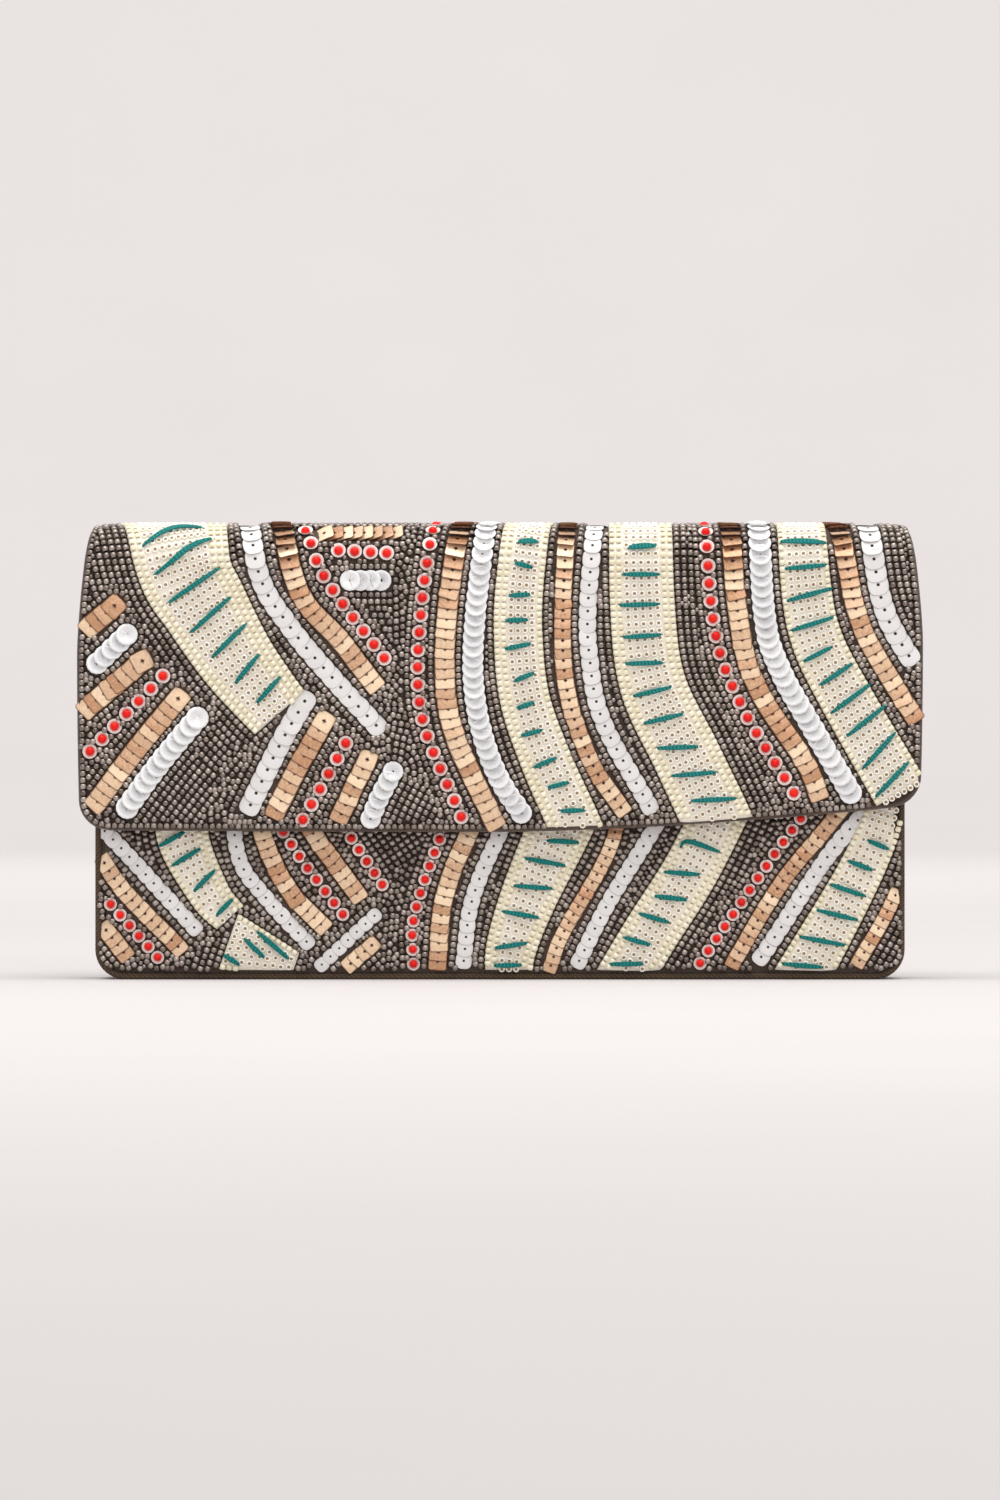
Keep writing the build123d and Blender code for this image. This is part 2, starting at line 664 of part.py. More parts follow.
def stone_spots(paths, low_z, top_z):
    """The middles of the round stones, evenly spaced along each row."""
    spots = []
    for path in paths:
        points = [Vector(x, z) for x, z in stretched(path)]
        row = Line(*points) if len(points) == 2 else Spline(*points)
        count = max(2, round(row.length / stone_pitch) + 1)
        spots += [row @ (index / (count - 1)) for index in range(count)]
    side = wall_width / 2 - bead_inset - stone_edge
    return [spot for spot in spots if low_z < spot.Y < top_z and abs(spot.X) < side]


def stone_rows(label, face_y, spots):
    """Rows of round stones, each set in a pale cup."""
    with BuildPart() as stones:
        for diameter, base, thickness in (
            (stone_cup_d, 0.0, stone_cup_t),
            (stone_d, stone_cup_t, bead_layer_t - stone_cup_t),
        ):
            with BuildSketch(on_wall(face_y - base)):
                with Locations(*spots):
                    Circle(diameter / 2)
            extrude(amount=thickness)
    save(stones.part, label)


def ground_beads(label, face_y, clip, taken, spots):
    """Rows of small beads that fill the cloth between the strips."""
    with BuildPart() as beads:
        with BuildSketch(on_wall(face_y)):
            Rectangle(4 * flap_width, 4 * height)
            for points, start_width, end_width in taken:
                draw_band(points, start_width, end_width, grow=bead_gap, mode=Mode.SUBTRACT)
            with Locations(*spots):
                Circle(stone_edge, mode=Mode.SUBTRACT)
            clip()
        extrude(amount=ground_t)
    save(beads.part, label)


for name, face_y, clip, stitches, kinds, stones, low_z, top_z in (
    (
        "flap", flap_y, clip_flap, flap_stitches,
        (
            ("cream_beads", flap_cream, cream_t),
            ("white_sequins", flap_white, white_t),
            ("pearl_sequins", flap_pearl, pearl_t),
            ("rose_sequins", flap_rose, rose_t),
        ),
        flap_stones, flap_edge_z + stone_edge, fold_z - stone_edge,
    ),
    (
        "front", front_y, clip_front, front_stitches,
        (
            ("cream_beads", front_cream, cream_t),
            ("pearl_sequins", front_pearl, pearl_t),
            ("rose_sequins", front_rose, rose_t),
        ),
        front_stones, wall_inset + stone_edge, front_bead_top_z - stone_edge,
    ),
):
    taken = stone_bands(stones)
    spots = stone_spots(stones, low_z, top_z)
    stone_rows(f"{name}_red_stones", face_y, spots)
    for kind, bands, thickness in kinds:
        bead_bands(f"{name}_{kind}", face_y, clip, bands, taken, thickness)
        taken = taken + bands
    thread_stitches(f"{name}_teal_stitches", face_y, clip, stitches)
    ground_beads(f"{name}_ground_beads", face_y, clip, taken, spots)

print(f"front fold axis y {front_hinge[0]:.3f} z {front_hinge[1]:.3f}")
print(f"back fold axis y {back_hinge[0]:.3f} z {back_hinge[1]:.3f}")
print(f"depths: back {back_y:.2f}, back lining {back_lining_y:.2f}, front lining {front_lining_y:.2f}")
print(f"front {front_y:.2f}, flap lining {flap_lining_y:.2f}, flap {flap_y:.2f}, fold z {fold_z:.2f}")
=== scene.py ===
from math import asin, atan2, cos, pi, radians, sin

import bmesh
import bpy
import numpy as np
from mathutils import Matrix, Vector


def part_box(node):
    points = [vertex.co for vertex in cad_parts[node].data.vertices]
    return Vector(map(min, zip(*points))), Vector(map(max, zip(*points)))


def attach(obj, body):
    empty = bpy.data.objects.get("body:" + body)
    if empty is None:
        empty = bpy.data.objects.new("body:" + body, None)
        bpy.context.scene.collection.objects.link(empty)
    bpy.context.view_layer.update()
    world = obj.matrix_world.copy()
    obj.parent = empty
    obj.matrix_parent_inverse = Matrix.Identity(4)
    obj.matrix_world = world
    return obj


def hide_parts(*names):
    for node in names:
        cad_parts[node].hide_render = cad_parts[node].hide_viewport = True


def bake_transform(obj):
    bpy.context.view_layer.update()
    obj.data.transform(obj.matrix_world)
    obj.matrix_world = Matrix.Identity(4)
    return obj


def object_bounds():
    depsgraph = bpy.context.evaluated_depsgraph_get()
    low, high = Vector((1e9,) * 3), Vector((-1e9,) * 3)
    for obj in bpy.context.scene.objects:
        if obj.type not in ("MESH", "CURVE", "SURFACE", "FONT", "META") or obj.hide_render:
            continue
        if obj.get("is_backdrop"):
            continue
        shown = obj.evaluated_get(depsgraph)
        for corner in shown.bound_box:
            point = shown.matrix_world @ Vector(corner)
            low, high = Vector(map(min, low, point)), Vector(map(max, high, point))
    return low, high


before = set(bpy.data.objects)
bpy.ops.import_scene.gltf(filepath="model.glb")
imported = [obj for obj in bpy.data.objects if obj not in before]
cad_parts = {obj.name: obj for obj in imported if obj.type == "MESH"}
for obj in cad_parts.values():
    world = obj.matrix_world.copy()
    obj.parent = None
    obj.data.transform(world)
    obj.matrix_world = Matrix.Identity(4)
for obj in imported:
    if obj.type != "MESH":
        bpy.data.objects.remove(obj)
cad_low, cad_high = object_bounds()
mm = 0.001

# --- Studio: a pale paper floor that sweeps up behind the clutch, a large soft light above it, a
# weaker one in front, and a long lens level with the middle of the clutch.
camera_distance = 2.4
shown_width = 0.2995
aim = Vector((0, 0, 0.069))
lens = bpy.data.cameras.new("camera")
lens.sensor_fit, lens.sensor_width = "HORIZONTAL", 36
lens.lens = lens.sensor_width * (camera_distance + cad_low.y) / shown_width
lens.clip_start, lens.clip_end = 0.05, 20
camera = bpy.data.objects.new("camera", lens)
camera.location = aim - Vector((0, camera_distance, 0))
camera.rotation_euler = (pi / 2, 0, 0)
bpy.context.collection.objects.link(camera)
bpy.context.scene.camera = camera


def add_softbox(name, place, target, width, depth, watts):
    """A rectangular soft light that faces a point."""
    lamp = bpy.data.lights.new(name, "AREA")
    lamp.shape, lamp.size, lamp.size_y, lamp.energy = "RECTANGLE", width, depth, watts
    softbox = bpy.data.objects.new(name, lamp)
    softbox.location = place
    softbox.rotation_euler = (Vector(target) - Vector(place)).to_track_quat("-Z", "Y").to_euler()
    bpy.context.collection.objects.link(softbox)


add_softbox("overhead softbox", (0, -0.25, 1.3), (0, 0, 0.1), 1.6, 0.9, 15)
add_softbox("front softbox", (0.5, -2.0, 1.2), (0, 0, 0.07), 1.6, 1.0, 9)
add_softbox("backdrop softbox", (0, 1.3, 2.4), (0, 4.2, 0.9), 3.0, 1.0, 63)
sky = bpy.data.worlds.new("studio")
sky.use_nodes = True
sky.node_tree.nodes["Background"].inputs["Color"].default_value = (0.95, 0.92, 0.915, 1)
sky.node_tree.nodes["Background"].inputs["Strength"].default_value = 0.78
bpy.context.scene.world = sky
bpy.context.scene.view_settings.view_transform = "Standard"

floor_bm = bmesh.new()
bmesh.ops.create_grid(floor_bm, x_segments=1, y_segments=1, size=3)
far_edge = [e for e in floor_bm.edges if all(v.co.y > 2.9 for v in e.verts)]
for turn in [*(radians(90) * (step + 0.5) / 8 for step in range(8)), radians(90)]:
    made = bmesh.ops.extrude_edge_only(floor_bm, edges=far_edge)["geom"]
    reach = 3 if turn == radians(90) else 0.3
    bmesh.ops.translate(
        floor_bm, verts=[g for g in made if isinstance(g, bmesh.types.BMVert)],
        vec=(0, reach * cos(turn), reach * sin(turn)),
    )
    far_edge = [g for g in made if isinstance(g, bmesh.types.BMEdge)]
floor_mesh = bpy.data.meshes.new("floor")
floor_bm.to_mesh(floor_mesh)
floor_bm.free()
floor_mesh.shade_smooth()
floor = bpy.data.objects.new("floor", floor_mesh)
bpy.context.collection.objects.link(floor)
floor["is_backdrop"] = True


def add_node(tree, kind, settings=(), **inputs):
    """A node with its settings and sockets filled in; a socket given as a value is linked."""
    made = tree.nodes.new("ShaderNode" + kind)
    for key, value in dict(settings).items():
        setattr(made, key, value)
    for key, value in inputs.items():
        socket = made.inputs[int(key[1:]) if key[0] == "_" else key.replace("_", " ")]
        if isinstance(value, bpy.types.NodeSocket):
            tree.links.new(value, socket)
        else:
            socket.default_value = value
    return made


def colour(code):
    """A colour given as it looks on a screen, as linear values."""
    parts = [int(code[i:i + 2], 16) / 255 for i in (0, 2, 4)]
    return (*[p / 12.92 if p < 0.04 else ((p + 0.055) / 1.055) ** 2.4 for p in parts], 1)


def new_material(name, **sockets):
    """A material and its tree, with the shader's fixed sockets set."""
    material = bpy.data.materials.new(name)
    material.use_nodes = True
    shader = material.node_tree.nodes["Principled BSDF"]
    for key, value in sockets.items():
        shader.inputs[key.replace("_", " ")].default_value = value
    return material, material.node_tree, shader


def finish_surface(tree, shader, height=None, depth=0.2 * mm, **outputs):
    """Wire colours and values to the shader, and a height to its bump."""
    for key, value in outputs.items():
        tree.links.new(value, shader.inputs[key.replace("_", " ")])
    if height is not None:
        bump = add_node(tree, "Bump", Strength=1.0, Distance=depth, Height=height)
        tree.links.new(bump.outputs["Normal"], shader.inputs["Normal"])


def coordinates(tree, kind="Object"):
    """Places on a surface, in metres."""
    return add_node(tree, "TexCoord").outputs[kind]


def noise(tree, place, scale, detail):
    """Soft random spots over a surface."""
    return add_node(tree, "TexNoise", Vector=place, Scale=scale, Detail=detail).outputs["Fac"]


def mixed(tree, share, *tints, blend="MIX"):
    """Two colours mixed by a share, each a code or another node's colour."""
    first, second = (colour(tint) if isinstance(tint, str) else tint for tint in tints)
    return add_node(tree, "Mix", {"data_type": "RGBA", "blend_type": blend}, _0=share, _6=first,
                    _7=second).outputs[2]


def ranged(tree, value, low, high):
    """A share spread between two values."""
    return add_node(tree, "MapRange", Value=value, To_Min=low, To_Max=high).outputs[0]


def worked_out(tree, operation, *values, clamp=False):
    """The outcome of one sum."""
    return add_node(tree, "Math", {"operation": operation, "use_clamp": clamp},
                    **{f"_{i}": value for i, value in enumerate(values)}).outputs[0]


paper, tree, shader = new_material("studio paper", Roughness=0.9, Specular_IOR_Level=0.2)
grain = noise(tree, coordinates(tree), 6.0, 2.0)
finish_surface(tree, shader, Base_Color=mixed(tree, grain, "d1cdcc", "d5d1d1"))
floor_mesh.materials.append(paper)

# --- Flap cloth: one piece of dark taupe satin cloth, from the flap's slanted lower edge up its
# front and over the rounded front fold to the middle of the top. It is stretched over thin foam
# and carries the beadwork. Places on it are x across and s along, with s the height on the flat.
flap_low, flap_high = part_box("flap_fabric")
spine_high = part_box("spine_fabric")[1]
back_low, back_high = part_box("back_fabric")
front_low, front_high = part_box("front_fabric")
fold_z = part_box("back_lining")[1].z
fold_radius = spine_high.z - fold_z
quarter = fold_radius * pi / 2
front_fold_y = flap_low.y + fold_radius
back_fold_y = back_high.y - fold_radius
spine_start = fold_z + quarter
spine_end = spine_start + back_fold_y - front_fold_y
spine_middle = (spine_start + spine_end) / 2
back_start = spine_end + quarter
back_end = back_start + fold_z - back_low.z
cloth_thickness = 0.8 * mm
lining_thickness = 0.5 * mm
wall_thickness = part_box("flap_lining")[1].y - flap_low.y
flap_half, spine_half, back_half = flap_high.x, spine_high.x, back_high.x
flap_corner, back_corner = 9 * mm, 6.95 * mm
edge_rise, edge_dip, hem_draw = 8.2 * mm, 0.5 * mm, 0.8 * mm
belly_share = 0.65
belly_s = flap_low.z + (fold_z - flap_low.z) * belly_share


def flap_edge_s(x):
    """The flap's slanted lower edge."""
    return flap_low.z + np.where(x > 0, edge_rise, edge_dip) * (np.abs(x) / flap_half) ** 1.6


def half_width(s):
    """Half of the cloth's width along the flap, the spine and the back."""
    above = np.clip((s - belly_s) / (spine_start - belly_s), 0, 1)
    below = np.clip((belly_s - s) / (belly_s - flap_low.z), 0, 1)
    behind = np.clip((s - spine_end) / quarter, 0, 1)
    return (flap_half - (flap_half - spine_half) * above**1.5 - hem_draw * below**2
            - (spine_half - back_half) * behind)


def rounded(half, corner, from_end):
    """A half width drawn in round a corner near the cloth's end."""
    cut = np.clip(corner - from_end, 0, corner)
    return half - corner + np.sqrt(corner**2 - cut**2)


def inside_corner(to_side, to_end, corner):
    """How far inside an outline with a rounded corner a place is."""
    at_corner = (to_side < corner) & (to_end < corner)
    around = corner - np.hypot(corner - to_side, corner - to_end)
    return np.where(at_corner, around, np.minimum(to_side, to_end))


def inside_flap(x, s):
    """How far inside the outline of the flap, spine and back a place is."""
    return inside_corner(half_width(s) - np.abs(x), s - flap_edge_s(x), flap_corner)


def wrap_place(x, s):
    """Point of the unpadded cloth, and the direction out of it."""
    rise = np.clip((s - fold_z) / fold_radius, 0, pi / 2)
    fall = np.clip((s - spine_end) / fold_radius, 0, pi / 2)
    over = np.clip(s - spine_start, 0, spine_end - spine_start)
    y = np.where(s < spine_end, front_fold_y - fold_radius * np.cos(rise) + over,
                 back_fold_y + fold_radius * np.sin(fall))
    z = np.where(s < fold_z, s, fold_z + fold_radius * np.sin(rise))
    z = np.where(s > spine_end, fold_z + fold_radius * np.cos(fall), z)
    z = np.where(s > back_start, fold_z - (s - back_start), z)
    return np.stack([x, y, z], -1), np.stack([0 * x, -np.cos(rise + fall), np.sin(rise + fall)], -1)


def padding(x, s):
    """How far the padding lifts the cloth: crowned in the middle, drawn in at the edges."""
    inside = np.clip(inside_flap(x, s), 0, None)
    drawn_in = -1.3 * mm * np.exp(-inside / (3.2 * mm))
    crown = 0.9 * mm * (1 - (x / flap_half) ** 2) * np.clip((s - flap_low.z) / (30 * mm), 0, 1)
    waves = 0.3 * mm * np.sin(x / (19 * mm) + 0.8) * np.sin(s / (13 * mm) + x / (60 * mm))
    return drawn_in + (crown + waves) * np.clip((spine_start - s) / quarter, 0, 1)


def wrap_surface(x, s, lift):
    """Point at a height above the padded cloth of the flap, spine and back fold."""
    place, out = wrap_place(x, s)
    return place + out * (lift + padding(x, s))[..., None]


def place_mesh(name, mesh, material):
    """The object made from a mesh, with its material and the slot it takes its finish from."""
    mesh.shade_smooth()
    mesh.materials.append(material)
    made = bpy.data.objects.new(name, mesh)
    bpy.context.collection.objects.link(made)
    return made


def new_piece(name, bm, material):
    """The object made from a bmesh."""
    mesh = bpy.data.meshes.new(name)
    bm.to_mesh(mesh)
    bm.free()
    return place_mesh(name, mesh, material)


def shaped_cloth(columns, rows, shape, size, thickness=0.0):
    """A cut of cloth: an even grid whose points, across (u) and along (v), go where shape says.
    Its UV map is in metres on the flat cut."""
    bm = bmesh.new()
    bmesh.ops.create_grid(bm, x_segments=columns, y_segments=rows, size=0.5)
    flat = np.array([v.co for v in bm.verts]) + 0.5
    uv = bm.loops.layers.uv.new("UVMap")
    for face in bm.faces:
        for loop in face.loops:
            loop[uv].uv = ((loop.vert.co.x + 0.5) * size[0], (loop.vert.co.y + 0.5) * size[1])
    for vert, place in zip(bm.verts, shape(flat[:, 0], flat[:, 1])):
        vert.co = place
    bmesh.ops.remove_doubles(bm, verts=bm.verts, dist=0.001 * mm)
    if thickness:
        bmesh.ops.solidify(bm, geom=bm.faces[:], thickness=thickness)
        bmesh.ops.recalc_face_normals(bm, faces=bm.faces)
    return bm


def new_group(name, tints, values):
    """A node group that takes colours and values, and gives a colour, a height and a roughness."""
    group = bpy.data.node_groups.new(name, "ShaderNodeTree")
    for way, kind, names in (("INPUT", "Color", tints), ("INPUT", "Float", values),
                             ("OUTPUT", "Color", ("Color",)),
                             ("OUTPUT", "Float", ("Height", "Roughness"))):
        for socket in names:
            group.interface.new_socket(socket, in_out=way, socket_type="NodeSocket" + kind)
    return group, group.nodes.new("NodeGroupInput").outputs


def finish_group(group, **results):
    """Wire a group's results to its own sockets."""
    shown = group.nodes.new("NodeGroupOutput").inputs
    for name, source in results.items():
        group.links.new(source, shown[name])


def group_surface(tree, shader, group, depth, **inputs):
    """Finish a surface with what a group gives."""
    made = add_node(tree, "Group", {"node_tree": group}, **inputs).outputs
    finish_surface(tree, shader, made["Height"], depth, Base_Color=made["Color"],
                   Roughness=made["Roughness"])


# Where the threads dip, the weave takes its shadow colour, painted shade between the threads; random
# patches darken it too.
weave, given = new_group("weave", ("Thread", "Shadow"), ("Count", "Slub"))
laid = coordinates(weave, "UV")
warp, weft = (
    add_node(weave, "TexWave", {"bands_direction": way, "wave_profile": "SIN"}, Vector=laid,
             Scale=given["Count"], Distortion=given["Slub"], Detail=1.0).outputs["Fac"]
    for way in "XY")
over_under = worked_out(weave, "MAXIMUM", warp, weft)
fade = noise(weave, laid, 38.0, 3.0)
thread_shade_and_patches = worked_out(weave, "MULTIPLY", over_under, fade)
depth = worked_out(weave, "MULTIPLY_ADD", thread_shade_and_patches, 1.5, 0.05, clamp=True)
height = worked_out(weave, "MULTIPLY_ADD", noise(weave, laid, 260.0, 2.0), 0.3, over_under)
finish_group(weave, Color=mixed(weave, depth, given["Shadow"], given["Thread"]), Height=height,
             Roughness=ranged(weave, fade, 0.5, 0.85))


def cloth_material(name, thread, shadow, count, slub, depth, sheen):
    """A woven cloth: its thread colour, and a darker tone of it painted as shade between the threads.
    """
    material, tree, shader = new_material(
        name, Sheen_Weight=sheen, Sheen_Roughness=0.4, Specular_IOR_Level=0.35)
    group_surface(tree, shader, weave, depth, Thread=colour(thread), Shadow=colour(shadow),
                  Count=count, Slub=slub)
    return material


ground_cloth = cloth_material("taupe satin cloth", "5c4b41", "33281f", 360.0, 0.6, 0.1 * mm, 0.25)


def hang(piece, part):
    """Let a piece move with the part of the clutch it is sewn to."""
    if part == "front":
        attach(piece, "body")
    else:
        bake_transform(piece)


# The rows of a cut lie closer together near its free edge, and a layer this far below the cloth
# no longer follows the padding.
row_packing = 1.5
flat_depth = 1.5 * mm


def flap_cut(lift, inset, end=spine_middle):
    """The flap's outline as a cut of cloth at a height above or below its surface."""
    def shape(u, v):
        share = v**row_packing
        low = flap_edge_s(0 * u) + inset
        up = share * (end - low)
        x = (2 * u - 1) * rounded(half_width(low + up) - inset, flap_corner - inset, up)
        low = flap_edge_s(x) + inset
        s = low + share * (end - low)
        if lift > -flat_depth:
            return wrap_surface(x, s, np.full(len(u), lift))
        place, out = wrap_place(x, s)
        return place + out * lift
    return shape


flap_size = (2 * flap_half, spine_middle - flap_low.z)
flap_cloth = new_piece(
    "flap_cloth", shaped_cloth(130, 70, flap_cut(0, 0.7 * mm), flap_size, cloth_thickness),
    ground_cloth)
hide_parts("flap_fabric")
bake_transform(flap_cloth)

# --- Edge binding: a narrow strip of the ground cloth rolled round the raw edges of the flap's
# layers and sewn down, so the edge is rounded and about as thick as the wall.


def run_of(line):
    """How far along a line each of its points is."""
    return np.concatenate([[0], np.cumsum(np.hypot(*np.diff(line, axis=0).T))])


def spots_at(places, run, *lines):
    """The points of each line at places along it."""
    return [np.stack([np.interp(places, run, line[:, i]) for i in (0, 1)], -1) for line in lines]


def along_line(line, pitch, start=0.0):
    """Points at an even pitch along a line, and its heading at each."""
    run = run_of(line)
    places = np.arange(start, run[-1], pitch)
    spots, ahead, behind = (spots_at(places + shift, run, line)[0] for shift in (0, 0.3, -0.3))
    way = ahead - behind
    return spots, np.arctan2(way[:, 1], way[:, 0])


def beside(line, distance):
    """A line moved to its left by a distance."""
    way = np.gradient(line, axis=0)
    way /= np.maximum(np.hypot(*way.T), 1e-9)[:, None]
    return line + np.stack([-way[:, 1], way[:, 0]], -1) * np.reshape(distance, (-1, 1))


def flap_outline(inset, top):
    """The flap's edge from its top left, down, along the slanted edge and up the right side."""
    low = flap_edge_s(0.0) + inset
    up = np.concatenate([np.linspace(0, flap_corner, 14), np.linspace(
        flap_corner, top - low, 50)[1:]])
    half = rounded(half_width(low + up) - inset, flap_corner - inset, up)
    left, right = (
        np.stack([x, flap_edge_s(x) + inset + up * (top - flap_edge_s(x) - inset) / (top - low)],
                 -1) for x in (-half, half))
    across = np.linspace(left[0, 0], right[0, 0], 60)[1:-1]
    return np.vstack([left[::-1], np.stack([across, flap_edge_s(across) + inset], -1), right])


roll_half, roll_height = 0.9 * mm, 2.05 * mm


def rolled_edge(line):
    """A rounded strip that follows an outline on the cloth."""
    run, side = run_of(line), beside(line, roll_half)

    def shape(u, v):
        at, out = spots_at(v * run[-1], run, line, side)
        spot = at + (out - at) * np.cos(u * 2 * pi)[:, None]
        place, normal = wrap_place(spot[:, 0], spot[:, 1])
        lift = roll_height * np.sin(u * 2 * pi) - wall_thickness / 2
        return place + normal * lift[:, None]
    return shape


flap_binding = new_piece(
    "flap_rolled_edge",
    shaped_cloth(12, 300, rolled_edge(flap_outline(roll_half, spine_middle)), (0.009, 0.44)),
    ground_cloth)
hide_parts("flap_edge_binding")
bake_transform(flap_binding)
for side in (-1, 1):
    run = np.linspace(spine_middle, back_start, 40)
    side_line = np.stack([side * (half_width(run) - roll_half), run], -1)
    spine_binding = new_piece(
        f"spine_rolled_edge_{'left' if side < 0 else 'right'}",
        shaped_cloth(12, 40, rolled_edge(side_line), (0.009, 0.024)),
        ground_cloth)
    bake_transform(spine_binding)

# --- Padding: thin sheets of upholstery foam glued to the stiff boards of the flap, the spine and
# the two walls, a little crowned under the cloth. They make the clutch soft to the touch.
pad_depth, pad_inset, pad_thickness = 0.85 * mm, 1.9 * mm, 1.1 * mm
foam, tree, shader = new_material("white foam", Roughness=0.95, Sheen_Weight=0.1)
cells = add_node(tree, "TexVoronoi", Vector=coordinates(tree), Scale=900.0).outputs["Distance"]
finish_surface(tree, shader, cells, 0.3 * mm, Base_Color=mixed(tree, cells, "c9c2b2", "eee9de"))


def foam_pad(name, columns, rows, shape, *nodes):
    """A sheet of foam with a closed, softened edge."""
    pad = new_piece(name, shaped_cloth(columns, rows, shape, (1, 1), pad_thickness), foam)
    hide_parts(*nodes)
    return pad


flap_pad = foam_pad("flap_padding", 60, 36, flap_cut(-pad_depth, pad_inset, spine_start),
                    "flap_foam")
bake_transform(flap_pad)


def spine_strip(u, v):
    """The flat top of the clutch, a little short of both folds."""
    s = spine_start + 0.2 * mm + (spine_end - spine_start - 0.4 * mm) * v
    place, out = wrap_place((2 * u - 1) * (half_width(s) - pad_inset), s)
    return place - out * pad_depth


spine_pad = foam_pad("spine_padding", 40, 6, spine_strip, "spine_foam")
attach(spine_pad, "spine")


def back_cut(lift, inset, first, crown=0.0):
    """The back wall's outline as a cut, from the spine down to the rounded lower corners."""
    def shape(u, v):
        last = back_end - inset
        s = first + (last - first) * (1 - (1 - v) ** row_packing)
        x = (2 * u - 1) * rounded(half_width(s) - inset, back_corner - inset, last - s)
        place, out = wrap_place(x, s)
        swell = crown * (1 - (x / back_half) ** 2) * np.clip((s - back_start) / (40 * mm), 0, 1)
        swell *= np.clip((last - s) / (30 * mm), 0, 1)
        return place + out * (lift + swell)[:, None]
    return shape


back_pad = foam_pad("back_padding", 60, 50, back_cut(-pad_depth, pad_inset, spine_end, 0.6 * mm),
                    "back_foam")
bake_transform(back_pad)


def wall_cut(y, inset, top, crown=0.0):
    """The front wall's outline as a cut at a depth y, the crown standing out to the front."""
    def shape(u, v):
        low = front_low.z + inset
        z = low + (top - low) * v**row_packing
        x = (2 * u - 1) * rounded(front_high.x - inset, back_corner - inset, z - low)
        swell = crown * (1 - (x / front_high.x) ** 2) * np.clip((z - low) / (20 * mm), 0, 1)
        return np.stack([x, y - swell * np.clip((top - z) / (20 * mm), 0, 1), z], -1)
    return shape


mouth_z = front_high.z
front_pad = foam_pad("front_padding", 60, 40, wall_cut(
    front_low.y + pad_depth, pad_inset, mouth_z - 1 * mm, 0.3 * mm), "front_foam")
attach(front_pad, "body")

# --- Boards: grey bookbinder's board cut to each panel, which keeps the clutch flat.


def finish_nodes(material, *nodes):
    """Give parts that keep their own shape a finish."""
    for node in nodes:
        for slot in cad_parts[node].material_slots:
            slot.material = material


greyboard, tree, shader = new_material("grey board", Roughness=0.9)
place = coordinates(tree)
fibres = noise(tree, place, 700.0, 6.0)
flecks = add_node(tree, "TexVoronoi", Vector=place, Scale=350.0).outputs["Color"]
pulp = mixed(tree, fibres, "6d675e", "a8a196")
finish_surface(tree, shader, fibres, 0.1 * mm,
               Base_Color=mixed(tree, 0.3, pulp, flecks, blend="MULTIPLY"))
finish_nodes(greyboard, "back_board", "front_board", "spine_board", "flap_board", "base_board")

# --- Linings: plain pale taupe silk-like cloth, glued over the boards inside the flap, over the
# spine and down both walls and the gusset.
lining_cloth = cloth_material("taupe lining cloth", "9c8676", "6b584b", 520.0, 0.3, 0.05 * mm, 0.4)
flap_lining = new_piece(
    "flap_lining_cloth",
    shaped_cloth(90, 50, flap_cut(-wall_thickness + lining_thickness, 1.6 * mm), flap_size,
                 lining_thickness),
    lining_cloth)
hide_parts("flap_lining")
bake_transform(flap_lining)
back_lining = new_piece(
    "back_lining_cloth",
    shaped_cloth(90, 60, back_cut(-wall_thickness + lining_thickness, 0.4 * mm, spine_middle),
                 (2 * back_half, back_end - spine_middle), lining_thickness),
    lining_cloth)
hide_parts("back_lining", "spine_lining")
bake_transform(back_lining)
front_lining = new_piece(
    "front_lining_cloth",
    shaped_cloth(60, 40, wall_cut(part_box("front_lining")[0].y, 0.4 * mm, mouth_z),
                 (2 * front_high.x, mouth_z), lining_thickness),
    lining_cloth)
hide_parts("front_lining")
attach(front_lining, "body")

# --- Back cloth: the same taupe cloth from the middle of the top, over the back fold and down the
# back wall. It is sewn round its edge and lies softly over the foam between the seams.


def settle(bm, outward, frames=16):
    """Let a cut of cloth with sewn edges take its own lie, by cloth simulation."""
    trial_mesh = bpy.data.meshes.new("settling cloth")
    bm.to_mesh(trial_mesh)
    trial = bpy.data.objects.new("settling cloth", trial_mesh)
    bpy.context.collection.objects.link(trial)
    sewn = trial.vertex_groups.new(name="sewn")
    sewn.add([v.index for v in bm.verts if v.is_boundary or v.co.z > fold_z - 4 * mm], 1.0,
             "REPLACE")
    cloth = trial.modifiers.new("settle", "CLOTH")
    cloth.settings.quality = 6
    cloth.settings.mass = 0.2
    cloth.settings.tension_stiffness = cloth.settings.compression_stiffness = 12
    cloth.settings.bending_stiffness = 0.4
    cloth.settings.shrink_min = -0.012
    cloth.settings.vertex_group_mass = "sewn"
    cloth.collision_settings.use_self_collision = False
    cloth.point_cache.frame_start, cloth.point_cache.frame_end = 1, frames
    scene = bpy.context.scene
    usual = scene.gravity.copy()
    scene.gravity = outward
    for frame_number in range(1, frames + 1):
        scene.frame_set(frame_number)
    lying = trial.evaluated_get(bpy.context.evaluated_depsgraph_get())
    places = [v.co.copy() for v in lying.data.vertices]
    scene.frame_set(1)
    scene.gravity = usual
    bpy.data.objects.remove(trial)
    bpy.data.meshes.remove(trial_mesh)
    return places


back_bm = shaped_cloth(120, 80, back_cut(0, 0, spine_middle, 0.6 * mm),
                       (2 * back_half, back_end - spine_middle))
most = 1.6 * mm
for vert, place in zip(back_bm.verts, settle(back_bm, (0, 3.0, 0))):
    moved = place - vert.co
    vert.co += moved * min(1.0, most / max(moved.length, 1e-9))
bmesh.ops.solidify(back_bm, geom=back_bm.faces[:], thickness=cloth_thickness)
bmesh.ops.recalc_face_normals(back_bm, faces=back_bm.faces)
back_cloth = new_piece("back_cloth", back_bm, ground_cloth)
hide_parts("back_fabric", "spine_fabric")
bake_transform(back_cloth)

# --- Front wall cloth and the binding over its top edge: plain taupe cloth where the flap hides
# it, beaded on the strip that shows below the flap.
front_half, front_bottom = front_high.x, front_low.z
front_bead_top = 58 * mm


